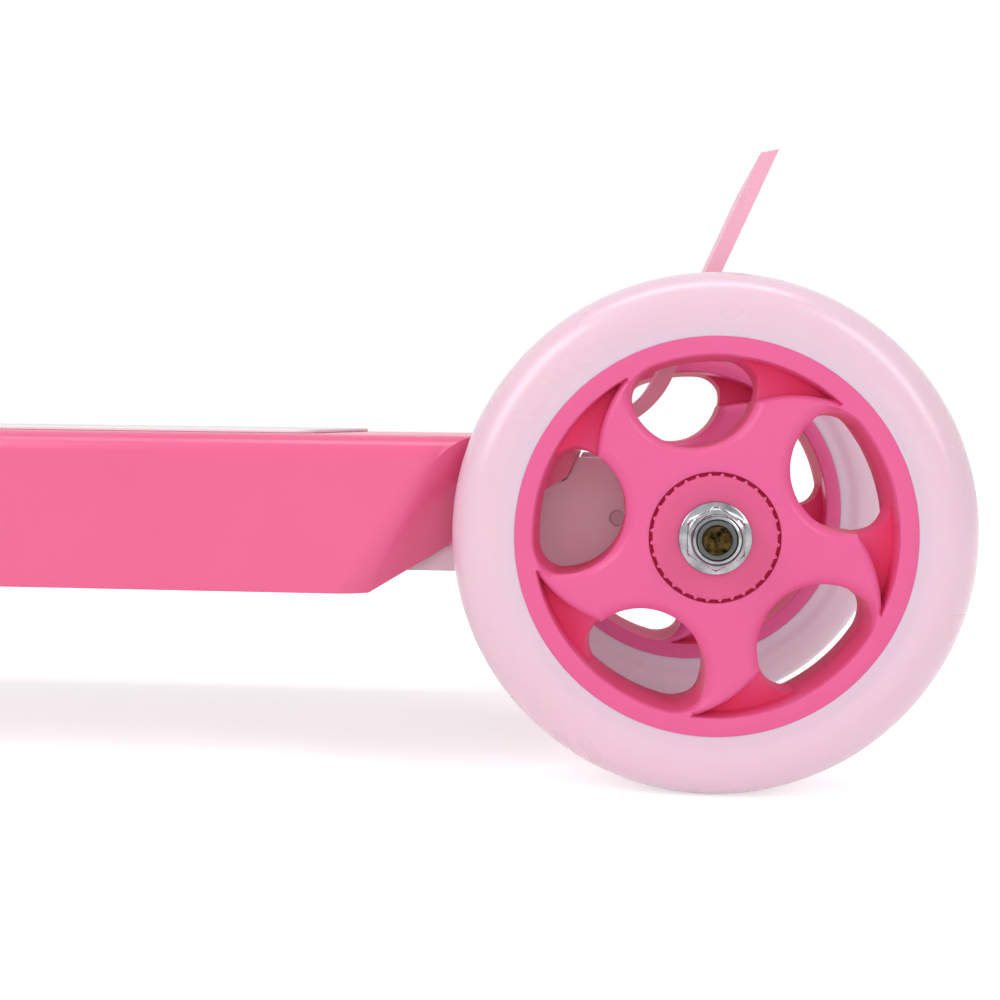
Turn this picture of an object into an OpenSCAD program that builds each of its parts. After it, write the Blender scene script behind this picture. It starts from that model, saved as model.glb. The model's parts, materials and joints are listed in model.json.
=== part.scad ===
// Children's kick scooter with four wheels: two close together at the back,
// two on a lean-to-steer beam at the front, and a folding, telescopic T-bar.
// Millimetres. +X points to the rear, +Y to the rider's right and +Z up.
// The origin is on the ground, midway between the two axles.

/* [Layout] */
// Distance between the front and rear axles
wheelbase = 400; // [380:5:460]
// Distance between the middles of the rear wheels
rear_track = 120; // [118:1:130]
// Distance between the middles of the front wheels
front_track = 200; // [192:2:230]

/* [Wheels] */
// Diameter over the tyres
wheel_d = 125; // [122:0.5:128]
// Width of a tyre and of its hub
wheel_w = 26; // [25:0.5:28]
// Radius of the tyre's rounded shoulders
tyre_shoulder_r = 10; // [8:0.5:11]
// Diameter of the rim that carries the tyre
rim_d = 93.8; // [92:0.2:97]
// Thickness of the rim outside the spoke holes
rim_wall = 4.4; // [3.6:0.1:5]
// Depth of the groove that keys the tyre to the rim
rim_groove = 1.8; // [1:0.1:2.4]
// Number of swirl spokes
spoke_count = 5; // [4:1:5]
// Radius of the round part of a spoke hole
hole_r = 15; // [13.5:0.1:15.4]
// Distance from the wheel's centre to the middle of a spoke hole
hole_reach = 36.4; // [35.5:0.1:37.5]
// Radius of the spoke hole's two corners
hole_corner_r = 4.5; // [3:0.1:6]
// Radius of a spoke's curved leading edge
spoke_edge_r = 31; // [29:0.5:34]
// Depth of the crescent recess beside each spoke hole
recess_depth = 8; // [4:0.5:9]
// Diameter of the toothed hub cap
cap_d = 30.2; // [29:0.1:31]
// Thickness of the hub cap
cap_t = 2.4; // [1.8:0.1:3]
// Number of teeth round the hub cap
cap_teeth = 32; // [24:1:36]

/* [Axles] */
// Diameter of the axle bolts
axle_d = 8; // [7:0.1:8.4]
// Outer diameter of a wheel bearing
bearing_d = 22; // [21.6:0.1:23]
// Width of a wheel bearing
bearing_w = 7; // [6.5:0.1:7.5]
// Diameter of the balls in a bearing
ball_d = 3.9; // [3.5:0.1:4.1]
// Diameter of the spacer tubes on the axles
spacer_d = 12.6; // [12:0.1:13]
// Distance across the flats of an axle nut
nut_af = 13; // [12:0.1:13.5]
// Diameter of an axle nut's flange
nut_flange_d = 17; // [16:0.1:18]

/* [Deck] */
// Width of the deck
deck_w = 116; // [112:1:122]
// Height of the deck's top above the axles
deck_rise = 22.8; // [21:0.2:25]
// Depth of the deck from its top to its skirt's lower edge
deck_depth = 39.5; // [36:0.5:42]
// Wall thickness of the deck shell
deck_wall = 3; // [2.4:0.1:3.6]
// Radius along the deck's upper edge
deck_edge_r = 7; // [5:0.5:10]
// Distance from the rear axle to the end of the deck's tail
tail_gap = 33.5; // [32:0.5:36]
// Lean of the wheel well's edge from upright
well_lean = 31.5; // [25:0.5:36]
// Turn of the wheel well's face towards the middle
well_turn = 36; // [30:1:40]
// Rise of the tail skirt's lower edge, from level
skirt_slope = 31; // [28:0.5:34]
// Width of the foot mat
mat_w = 96; // [80:1:98]
// Thickness of the foot mat
mat_t = 1; // [0.8:0.1:2.5]

/* [Tail and brake] */
// Width of the tail block between the rear wheels
tail_w = 75; // [72:0.5:77]
// Thickness of the tail block's two cheeks
cheek_t = 9; // [7:0.5:11]
// Depth of the frame below the axles
frame_drop = 12.5; // [11:0.5:14]
// Radius of the boss round the rear axle
axle_boss_r = 15; // [13:0.5:16]
// Width of the brake pedal
pedal_w = 72; // [64:1:74]
// Thickness of the brake pedal
pedal_t = 3.8; // [3:0.1:5]
// Lean of the pedal's foot plate from upright
pedal_lean = 24; // [22:0.5:28]
// Length of the pedal's straight foot plate
pedal_len = 63; // [56:1:70]
// Radius of the bend below the foot plate
pedal_bend_r = 22; // [20:0.5:24]
// Diameter of the brake's hinge pin
brake_pin_d = 4; // [3:0.1:5]

/* [Head and steering] */
// Forward lean of the steering pivot from upright
pivot_lean = 30; // [28:0.5:32]
// Width of the head between its cheeks
head_w = 60; // [58:1:64]
// Diameter of the steering pivot bolt
pivot_d = 10; // [9:0.1:11]
// Radius of the steering beam's middle boss
beam_boss_r = 20; // [19:0.5:21]
// Radius of the steering beam's ends
beam_end_r = 13; // [12:0.5:14]
// Thickness of a steering bush
bush_t = 7.4; // [6:0.2:9]

/* [Column] */
// Rearward lean of the column from upright
column_lean = 12; // [10:0.5:14]
// Outer diameter of the lower column tube
lower_d = 34; // [33:0.5:36]
// Length of the lower column tube
lower_len = 300; // [280:5:340]
// Outer diameter of the upper column tube
upper_d = 28; // [27:0.5:29]
// Length of the upper column tube
upper_len = 290; // [270:5:320]
// Wall thickness of the column tubes
tube_t = 1.5; // [1.2:0.1:2]
// Length of the upper tube inside the lower one at its lowest setting
upper_in = 140; // [125:5:160]
// Width of the folding joint between its ears
fold_w = 34; // [32:0.5:37]
// Thickness of the folding joint's ears
ear_t = 6; // [5:0.5:7]
// Diameter of the folding joint's pivot pin
fold_pin_d = 8; // [7:0.1:9]
// Diameter of the two quick-release rods
rod_d = 6; // [5:0.1:6.5]
// Largest folding angle
fold_max = 71; // [60:1:72]

/* [Handlebar] */
// Diameter of the handlebar
bar_d = 22; // [21:0.2:23]
// Length of the handlebar
bar_len = 262; // [250:2:320]
// Diameter of the grips
grip_d = 31; // [29:0.5:34]
// Length of a grip
grip_len = 88; // [80:1:94]

/* [Hidden] */
$fn = 96;
fit = 0.3;
shaft_fit = 0.05;
eps = 0.01;

axle_z = wheel_d / 2;
rear_x = wheelbase / 2;
front_x = -wheelbase / 2;
rim_r = rim_d / 2;
rim_in_r = rim_r - rim_wall;
hole_angle = 98.8;
edge_reach = 18.7;
edge_tip = 48;
tooth_h = 0.7;
axle_r = axle_d / 2;
axle_bore_r = axle_r + shaft_fit;
bearing_r = bearing_d / 2;
half_gap = 3.5;
bearing_out = half_gap + bearing_w;
nut_seat = wheel_w / 2 + 0.4;
nut_h = 5.6;
nut_insert_h = 2;
bolt_proud = 2.2;
head_h = 5.3;
stub_seat = wheel_w / 2 + 10;

deck_low = deck_rise - deck_depth;
frame_fit = 0.2;
frame_top = deck_rise - deck_wall - frame_fit;
tongue_w = tail_w + 2 * (deck_wall + frame_fit);
prow_x = -100;
prow_r = deck_w / 2 + 8;
skirt_x = tail_gap + (13.8 - deck_low) / tan(skirt_slope);
tray_end = -skirt_x - 8;
skirt_bevel = 2;
bevel_rise = 1.8;

brake_x = -22.6;
brake_z = 2;
brake_r = brake_pin_d / 2;
brake_hub_r = 5.5;
shoe_in_r = wheel_d / 2 - 1.1;
shoe_t = 2;
shoe_a = [104, 118];
shoe_out_y = rear_track / 2 - wheel_w / 2 + 3;

pivot_bore_r = pivot_d / 2 + shaft_fit;
beam_half = 18;
seat_s = beam_half + fit + bush_t;
beam_gap = beam_boss_r + 6;
socket_s = seat_s + 40;
neck_arc_r = 57;
neck_x = front_x + 88;
nose_len = 50;
pad_x = front_x + 4;
pad_z = axle_z + 59.6;

lower_r = lower_d / 2;
lower_in_r = lower_r - tube_t;
upper_r = upper_d / 2;
upper_in_r = upper_r - tube_t;
base_t = 6;
pivot_h = 22;
ear_r = 21;
knuckle_r = pivot_h - base_t - 1;
foot_bolt_x = 18;
foot_bolt_y = fold_w / 2 - 5.5;
rod_reach = 13;
rod_r = rod_d / 2;
socket_d0 = ear_r + 3;
lower_d0 = socket_d0 + 6;
lower_d1 = lower_d0 + lower_len;
clamp_h = 24;
clamp_d0 = lower_d1 - clamp_h + 4;
upper_d0 = lower_d1 - upper_in;
upper_d1 = upper_d0 + upper_len;
bar_r = bar_d / 2;
bar_level = upper_d1 + bar_r + 1;
tee_w = 56;
tee_skirt = 38;
tee_wall = 5;
cam_r = 8;
lever_len = 52;
lug_x = lower_r + 11;
lug_y = 9;

head_lap = 60;
head_bolt_d = 6;
head_bolt_len = 26;
foot_bolt_d = 6;
foot_bolt_len = 22;
deck_screw_d = 4;
deck_screw_len = frame_drop + frame_top + 1.2;
nut_s = seat_s + 24;
pivot_nut_af = 17;
pedal_foot = [-10.9, 38.8];

blush = "#e3c3cf";
pink = "#f3699f";
zinc = "#c9ccce";

// ---- helpers ----

// Points along an arc about c, from angle a0 to angle a1
function arc_points(c, r, a0, a1, n = 16) =
    [for (i = [0:n]) c + r * [cos(a0 + (a1 - a0) * i / n), sin(a0 + (a1 - a0) * i / n)]];

// Where a circle about a meets a circle about b, on side s of the line between them
function circles_meet(a, ra, b, rb, s) =
    let (d = norm(b - a), u = (b - a) / d, x = (d * d + ra * ra - rb * rb) / (2 * d))
    a + x * u + s * sqrt(ra * ra - x * x) * [-u[1], u[0]];

// A tube along +Z
module tube(r_out, r_in, h) {
    difference() {
        cylinder(r = r_out, h = h);
        translate([0, 0, -1])
            cylinder(r = r_in, h = h + 2);
    }
}

// A hexagonal prism across the flats af
module hexagon(af, h) {
    cylinder(r = af / 2 / cos(30), h = h, $fn = 6);
}

// A round-headed screw with a hexagon socket, head on top, tip at z = 0
module socket_screw(d, len, head_d, head_height) {
    difference() {
        union() {
            cylinder(r = d / 2, h = len + head_height / 2);
            translate([0, 0, len])
                cylinder(r = head_d / 2, h = head_height);
        }
        translate([0, 0, len + head_height * 0.4])
            hexagon(d * 0.8, head_height);
    }
}

// Turns an XZ outline into a slab of width w about the middle plane
module side_slab(w) {
    rotate([90, 0, 0])
        linear_extrude(w, center = true)
            children();
}

module at_rear() {
    translate([rear_x, 0, axle_z])
        children();
}

module at_front() {
    translate([front_x, 0, axle_z])
        children();
}

// Places a wheel-local child: its Z points to the rider's left
module at_wheel(x, y) {
    translate([x, y, axle_z])
        rotate([90, 0, 0])
            children();
}

// The steering pivot's own frame: Z along the pivot, X to the rear
module at_pivot() {
    at_front()
        rotate([0, -pivot_lean, 0])
            children();
}

// The column's own frame: Z up the column from the fold pivot, X to the rear
module at_fold() {
    translate([pad_x, 0, pad_z])
        rotate([0, column_lean, 0])
            translate([0, 0, pivot_h])
                children();
}

// ---- wheel ----

// The round shouldered tyre, keyed into the rim's groove
module tyre() {
    w = wheel_w / 2;
    s = tyre_shoulder_r;
    crown = wheel_d / 2;
    rotate_extrude() {
        translate([rim_r - rim_groove, -w * 0.45])
            square([rim_groove + eps, w * 0.9]);
        intersection() {
            translate([rim_r, -w])
                square([crown, wheel_w]);
            union() {
                translate([rim_r, -w])
                    square([crown - s - rim_r, wheel_w]);
                translate([crown - s - eps, -w + s])
                    square([s + eps, wheel_w - 2 * s]);
                for (side = [-1, 1])
                    translate([crown - s, side * (w - s)])
                        circle(s);
            }
        }
    }
}

hole_c = hole_reach * [cos(hole_angle), sin(hole_angle)];

// One spoke hole: a circle cut off by the rim, with its two corners rounded
module spoke_hole() {
    f = hole_corner_r;
    corners = [for (s = [-1, 1]) circles_meet([0, 0], rim_in_r - f, hole_c, hole_r - f, s)];
    difference() {
        intersection() {
            circle(rim_in_r);
            translate(hole_c)
                circle(hole_r);
        }
        for (i = [0, 1]) {
            c = corners[i];
            k = circles_meet([0, 0], rim_in_r, hole_c, hole_r, i * 2 - 1);
            polygon([
                c,
                c + (c / norm(c)) * f,
                c + (k - c) * 1.8,
                c + (c - hole_c) / norm(c - hole_c) * f]);
        }
    }
    for (c = corners)
        translate(c)
            circle(f);
}

// The crescent beside a hole, between the rim and the next spoke's leading edge
module crescent() {
    tip = rim_in_r * [cos(edge_tip), sin(edge_tip)];
    edge_c = circles_meet([0, 0], edge_reach, tip, spoke_edge_r, 1);
    intersection() {
        difference() {
            circle(rim_in_r);
            translate(edge_c)
                circle(spoke_edge_r);
        }
        polygon([
            [0, hole_reach * 0.6],
            [0, rim_r],
            rim_r * [1, 1],
            rim_r * [cos(edge_tip - 6), sin(edge_tip - 6)]]);
    }
}

// The moulded hub: rim, swirl spokes, bearing seats and cap seats
module hub() {
    w = wheel_w / 2;
    difference() {
        rotate_extrude()
            difference() {
                translate([bearing_r - 2, -w])
                    square([rim_r - bearing_r + 2, wheel_w]);
                translate([rim_r - rim_groove, -w * 0.45])
                    square([rim_groove + 1, w * 0.9]);
            }
        for (k = [0:spoke_count - 1])
            rotate([0, 0, k * 360 / spoke_count]) {
                translate([0, 0, -w - 1])
                    linear_extrude(wheel_w + 2)
                        spoke_hole();
                for (side = [0, 1])
                    mirror([0, 0, side])
                        translate([0, 0, w - recess_depth])
                            linear_extrude(recess_depth + 1)
                                crescent();
            }
        for (side = [0, 1])
            mirror([0, 0, side]) {
                translate([0, 0, half_gap])
                    cylinder(r = bearing_r, h = w);
                translate([0, 0, w - cap_t])
                    cylinder(r = cap_d / 2 + 0.25, h = cap_t + 1);
            }
    }
}

// Two toothed caps that close the bearing seats
module caps() {
    w = wheel_w / 2;
    for (side = [0, 1])
        mirror([0, 0, side])
            difference() {
                union() {
                    translate([0, 0, w - cap_t])
                        linear_extrude(cap_t)
                            union() {
                                circle(cap_d / 2 - tooth_h);
                                for (i = [0:cap_teeth - 1])
                                    rotate(i * 360 / cap_teeth)
                                        polygon([
                                            [cap_d / 2 - tooth_h - 1, -1],
                                            [cap_d / 2, -0.25],
                                            [cap_d / 2, 0.25],
                                            [cap_d / 2 - tooth_h - 1, 1]]);
                            }
                    translate([0, 0, bearing_out])
                        cylinder(r = bearing_r - shaft_fit, h = w - bearing_out - cap_t + eps);
                }
                translate([0, 0, bearing_out - 1])
                    cylinder(r = spacer_d / 2 + 0.4, h = w);
                translate([0, 0, w - 0.5])
                    cylinder(r = nut_flange_d / 2 + 0.8, h = 1);
            }
}

ball_reach = bearing_r - 1.4 - 0.05 - ball_d / 2;
ring_r = ball_reach - ball_d / 2 - 0.1;

// The outer rings, shields and balls of a wheel's two bearings
module bearings() {
    ring_in = bearing_r - 1.4;
    shield_t = 0.5;
    for (side = [0, 1])
        mirror([0, 0, side])
            translate([0, 0, half_gap]) {
                tube(bearing_r - 0.01, ring_in, bearing_w);
                for (z = [0, bearing_w - shield_t])
                    translate([0, 0, z])
                        tube(ring_in + eps, ring_r + 0.35, shield_t);
                for (i = [0:6])
                    rotate([0, 0, i * 360 / 7])
                        translate([ball_reach, 0, bearing_w / 2])
                            sphere(ball_d / 2);
            }
}

// The bearings' inner rings, which the axle clamps
module inner_rings() {
    for (side = [0, 1])
        mirror([0, 0, side])
            translate([0, 0, half_gap])
                tube(ring_r, axle_bore_r, bearing_w);
}

// The spacer between a wheel's bearings, the outer collar and the inboard spacer
module spacers(inboard) {
    translate([0, 0, -half_gap])
        tube(ring_r, axle_bore_r, 2 * half_gap);
    translate([0, 0, bearing_out])
        tube(spacer_d / 2, axle_bore_r, nut_seat - bearing_out);
    translate([0, 0, -inboard])
        tube(spacer_d / 2, axle_bore_r, inboard - bearing_out);
}

// A flanged lock nut, its flange at z = 0
module flange_nut() {
    difference() {
        union() {
            cylinder(r = nut_flange_d / 2, h = 1.2);
            translate([0, 0, 1.2 - eps])
                cylinder(r1 = nut_flange_d / 2, r2 = nut_af / 2 + 0.4, h = 1.2);
            intersection() {
                hexagon(nut_af, nut_h);
                cylinder(r1 = nut_af / 2 + 4.4, r2 = nut_af / 2 - 0.2, h = nut_h + 0.4);
            }
            cylinder(r = nut_af / 2 - 0.7, h = nut_h + nut_insert_h);
        }
        translate([0, 0, -1])
            cylinder(r = axle_bore_r, h = nut_h + 5);
        translate([0, 0, nut_h])
            cylinder(r = axle_r + 1.1, h = nut_insert_h + 1);
    }
}

// The nylon ring that grips the thread
module nut_insert() {
    translate([0, 0, nut_h])
        tube(axle_r + 1.1, axle_bore_r, nut_insert_h - 0.3);
}

// A hexagon-headed bolt: head below z = 0, shank up to z = len
module hex_bolt(d, len, af) {
    translate([0, 0, -head_h])
        intersection() {
            hexagon(af, head_h);
            cylinder(r1 = af / 2 - 0.2, r2 = af / 2 + 4, h = head_h);
        }
    translate([0, 0, -1.2])
        cylinder(r = af / 2 + 1.8, h = 1.2);
    translate([0, 0, -eps])
        cylinder(r = d / 2, h = len - 0.6);
    translate([0, 0, len - 0.6 - 2 * eps])
        cylinder(r1 = d / 2, r2 = d / 2 - 0.6, h = 0.6);
}

// ---- rear ----

rear_y = rear_track / 2;
front_y = front_track / 2;
axle_reach = nut_seat + nut_h + nut_insert_h + bolt_proud;

module rear_axle_bolt() {
    color(zinc)
        at_wheel(rear_x, 0)
            translate([0, 0, -rear_y - nut_seat])
                hex_bolt(axle_d, 2 * rear_y + nut_seat + axle_reach, nut_af);
}

module rear_axle_nut() {
    color(zinc)
        at_wheel(rear_x, 0)
            translate([0, 0, rear_y + nut_seat])
                flange_nut();
}

module rear_nut_insert() {
    color("dimgray")
        at_wheel(rear_x, 0)
            translate([0, 0, rear_y + nut_seat])
                nut_insert();
}

module rear_inner_rings() {
    color("gainsboro")
        for (side = [-1, 1])
            at_wheel(rear_x, side * rear_y)
                inner_rings();
}

module rear_spacers() {
    color(zinc)
        for (side = [0, 1])
            mirror([0, side, 0])
                at_wheel(rear_x, -rear_y)
                    spacers(rear_y - tail_w / 2);
}

// The deck's outer form, drawn in by g on every side but the underside
module deck_form(g) {
    w = deck_w / 2 - g;
    r = max(deck_edge_r - g, 1);
    top = deck_rise - g;
    low = deck_low - g;
    tail = -tail_gap - g;
    head = prow_x - prow_r - rear_x;
    difference() {
        intersection() {
            at_rear()
                translate([head, 0, 0])
                    rotate([90, 0, 90])
                        linear_extrude(tail - head)
                            union() {
                                translate([-w, low])
                                    square([2 * w, top - r - low]);
                                translate([-w + r, low])
                                    square([2 * (w - r), top - low]);
                                for (side = [-1, 1])
                                    translate([side * (w - r), top - r])
                                        circle(r);
                            }
            union() {
                translate([prow_x, -deck_w, 0])
                    cube([rear_x - prow_x, 2 * deck_w, 2 * wheel_d]);
                translate([prow_x, 0, 0])
                    cylinder(r = prow_r - g, h = 2 * wheel_d);
            }
        }
        for (side = [0, 1])
            mirror([0, side, 0])
                at_rear()
                    wheel_well(g);
    }
}

// What the left wheel takes out of the deck: a leaning face that turns inwards
module wheel_well(g) {
    reach = 2 * deck_w;
    difference() {
        translate([-wheel_d / 2 - 0.8, -deck_w / 2, deck_rise])
            rotate([0, well_lean, 0])
                rotate([0, 0, -well_turn])
                    translate([-g, -reach / 2, -reach / 2])
                        cube([reach, reach, reach]);
        translate([-reach, -tongue_w / 2 + g, -reach])
            cube([2 * reach, 2 * reach, 2 * reach]);
    }
}

// A point at x along the tail skirt's rising edge, up above it
function skirt_point(x, up) = [x, deck_low + (x + skirt_x) * tan(skirt_slope) + up];

// Everything below the tail skirt's rising edge, with its last corner bevelled
module below_skirt() {
    side_slab(2 * deck_w)
        polygon([
            [-skirt_x, deck_low - 20],
            [-skirt_x, deck_low],
            skirt_point(-tail_gap - skirt_bevel, 0),
            skirt_point(-tail_gap + skirt_bevel, 2 * skirt_bevel * bevel_rise),
            [20, deck_low - 20]]);
}

// The pink deck shell, open below, with its hood over the head's neck
module deck_shell() {
    color(pink)
        difference() {
            union() {
                difference() {
                    deck_form(0);
                    translate([0, 0, -eps])
                        deck_form(deck_wall);
                    at_rear()
                        below_skirt();
                }
                at_front()
                    side_slab(head_w + 2 * (deck_wall + frame_fit))
                        nose_outline(0, 4);
            }
            at_front()
                side_slab(head_w + 2 * frame_fit)
                    union() {
                        nose_outline(deck_wall, 60);
                        translate([neck_x - front_x - 90, -60])
                            square([91, 60 + frame_top + frame_fit]);
                    }
            deck_screw_places()
                cylinder(r = deck_screw_d / 2 + 0.02, h = deck_screw_len + 0.4);
        }
}

// Points given along the pad under the column's foot, and along the steering pivot
function pad_point(x, up) =
    [pad_x - front_x, pad_z - axle_z]
    + x * [cos(column_lean), -sin(column_lean)]
    + up * [sin(column_lean), cos(column_lean)];
function pivot_point(s, t) =
    s * [-sin(pivot_lean), cos(pivot_lean)] + t * [cos(pivot_lean), sin(pivot_lean)];

// Side outline of the nose, from the deck's top up to the column's foot, g below the skin
module nose_outline(g, rim) {
    c = [neck_x - front_x, deck_rise + neck_arc_r];
    polygon(concat(
        [[c[0], -frame_drop]],
        arc_points(c, neck_arc_r + g, -90, -151),
        [pad_point(26 - g, rim)],
        [pad_point(-25 + g, rim)],
        [pivot_point(socket_s, 12)],
        [pivot_point(socket_s, -24 + g)],
        [pivot_point(seat_s, -24 + g)],
        [pivot_point(seat_s, beam_gap)],
        [pivot_point(-8, beam_gap)],
        [[c[0] - nose_len, -frame_drop]]));
}

// The rigid head: a tongue in the deck, a neck over the beam, and the pivot socket
module front_head() {
    lap = neck_x - front_x;
    color(blush)
        at_front()
            difference() {
                union() {
                    side_slab(head_w)
                        nose_outline(deck_wall + frame_fit, 0);
                    translate([lap - 1, -head_w / 2, 0])
                        cube([head_lap + 1, head_w, frame_top]);
                }
                rotate([0, -pivot_lean, 0]) {
                    translate([0, 0, seat_s - 1])
                        cylinder(r = pivot_bore_r, h = 60);
                    translate([0, 0, nut_s])
                        cylinder(r = pivot_nut_af / 2 / cos(30) + 0.3, h = 60);
                }
                foot_bolt_places()
                    translate([0, 0, base_t - foot_bolt_len - 1])
                        cylinder(r = foot_bolt_d / 2 + 0.1, h = foot_bolt_len);
                head_bolt_places()
                    cylinder(r = head_bolt_d / 2 + 0.1, h = 200, center = true);
                for (side = [-1, 1])
                    translate([0, side * head_w / 2, 0])
                        side_slab(8)
                            side_pocket();
            }
}

// The shallow triangular pocket in each cheek of the head
module side_pocket() {
    polygon([
        pivot_point(seat_s - 4, beam_gap + 9),
        pivot_point(6, beam_gap + 8),
        [neck_x - front_x - 30, 0],
        [neck_x - front_x - 22, deck_rise - 8]]);
}

module foot_bolt_places() {
    translate([pad_x - front_x, 0, pad_z - axle_z])
        rotate([0, column_lean, 0])
            for (x = [-1, 1], y = [-1, 1])
                translate([x * foot_bolt_x, y * foot_bolt_y, 0])
                    children();
}

module head_bolt_places() {
    for (x = [10, head_lap - 10], y = [-1, 1])
        translate([neck_x - front_x + x, y * 18, 0])
            children();
}

// The frame under the deck: a ribbed tray, a tail beam and two cheeks at the axle
module rear_frame() {
    inner = deck_wall + frame_fit;
    front_end = neck_x - rear_x;
    lap_end = front_end + head_lap + fit;
    color(blush)
        difference() {
            union() {
                intersection() {
                    deck_form(inner);
                    at_rear()
                        translate([front_end, -deck_w, -frame_drop])
                            cube([tray_end - front_end, 2 * deck_w, frame_drop + frame_top]);
                }
                at_rear()
                    side_slab(tail_w)
                        tail_outline();
            }
            at_rear() {
                translate([front_end - 1, -head_w / 2 - fit, -fit])
                    cube([head_lap + 1 + fit, head_w + 2 * fit, 60]);
                tray_pockets(lap_end);
                clevis_gap();
                rotate([90, 0, 0])
                    cylinder(r = axle_bore_r, h = 2 * tail_w, center = true);
                translate([brake_x, 0, brake_z])
                    rotate([90, 0, 0])
                        cylinder(r = brake_r + shaft_fit, h = 2 * tail_w, center = true);
            }
            at_front()
                head_bolt_places()
                    cylinder(r = head_bolt_d / 2 + 0.1, h = 200, center = true);
            deck_screw_places()
                cylinder(r = deck_screw_d / 2 + 0.1, h = 200);
        }
}

// Side outline of the tail beam and of the cheeks round the axle
module tail_outline() {
    top = deck_rise - 5.3;
    polygon([
        [tray_end - 1, -frame_drop],
        [-30, -frame_drop],
        [-axle_boss_r * 0.5, -axle_boss_r * 0.87],
        [0, 0],
        [axle_boss_r * 0.6, axle_boss_r * 0.8],
        [-9, top],
        [-tail_gap + 2 * fit, top],
        skirt_point(-tail_gap - skirt_bevel, -2 * fit),
        skirt_point(-tail_gap - deck_wall - fit, -2 * fit),
        [-tail_gap - deck_wall - fit, frame_top],
        [tray_end - 1, frame_top]]);
    circle(axle_boss_r);
}

// Pockets between the ribs, open below
module tray_pockets(x0) {
    rib = 4;
    count = 5;
    pitch = (tray_end - x0 - rib) / count;
    deep = frame_drop + frame_top - 5;
    for (i = [0:count - 1], side = [-1, 1])
        translate([x0 + rib + i * pitch, side > 0 ? rib / 2 : -rib / 2 - (deck_w / 2 - 10), -frame_drop - 1])
            cube([pitch - rib, deck_w / 2 - 10, deep + 1]);
    for (side = [0, 1])
        mirror([0, side, 0])
            translate([tray_end + rib, rib / 2, -frame_drop - 1])
                cube([-tray_end - rib - 44, tail_w / 2 - rib * 1.5, frame_drop + 9]);
}

// The gap between the cheeks, where the brake's hub and the rear spacer sit
module clevis_gap() {
    gap = tail_w - 2 * cheek_t;
    translate([-38, -gap / 2, -frame_drop - 10])
        cube([38 + axle_boss_r + 10, gap, 60]);
}

module deck_screw_places() {
    for (x = [tray_end - 30, tray_end - 160], side = [-1, 1])
        translate([rear_x + x, side * 44, axle_z - frame_drop])
            children();
}

module deck_mat() {
    start = prow_x + 24;
    r = 6;
    long = rear_x + tray_end - 8 - start;
    color("lightgray")
        translate([start, 0, axle_z + deck_rise])
            linear_extrude(mat_t)
                difference() {
                    union() {
                        translate([0, -mat_w / 2])
                            square([long - r, mat_w]);
                        translate([long - r - 1, -mat_w / 2 + r])
                            square([r + 1, mat_w - 2 * r]);
                        for (side = [-1, 1])
                            translate([long - r, side * (mat_w / 2 - r)])
                                circle(r);
                    }
                    for (i = [0:7])
                        translate([18 + i * 20, 0])
                            square([3, mat_w * 0.72], center = true);
                }
}

module deck_screws() {
    color(zinc)
        deck_screw_places()
            mirror([0, 0, 1])
                translate([0, 0, -deck_screw_len])
                    socket_screw(deck_screw_d, deck_screw_len, 9, 1.6);
}

module head_bolts() {
    color(zinc)
        at_front()
            head_bolt_places()
                translate([0, 0, -frame_drop])
                    mirror([0, 0, 1])
                        translate([0, 0, -head_bolt_len])
                            socket_screw(head_bolt_d, head_bolt_len, 10, 3);
}

// ---- brake ----

module at_brake() {
    at_rear()
        translate([brake_x, 0, brake_z])
            children();
}

module brake_pin() {
    color("dimgray")
        at_brake()
            rotate([90, 0, 0])
                cylinder(r = brake_r, h = tail_w - 2, center = true);
}

// The return spring: turns round the hub's middle and two legs
module brake_spring() {
    wire = 1.6;
    coil_r = brake_hub_r + fit + wire / 2;
    turns = 6;
    color("silver")
        at_brake() {
            for (i = [0:turns - 1])
                translate([0, (i - turns / 2 + 0.5) * (wire - eps), 0])
                    rotate([90, 0, 0])
                        rotate_extrude()
                            translate([coil_r, 0])
                                circle(wire / 2, $fn = 24);
            translate([-coil_r, (-turns / 2 + 0.5) * wire, 0])
                rotate([180, 0, 0])
                    cylinder(r = wire / 2, h = 11, $fn = 24);
            translate([coil_r, (turns / 2 - 0.5) * wire, 0])
                cylinder(r = wire / 2, h = 15, $fn = 24);
        }
}

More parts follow.
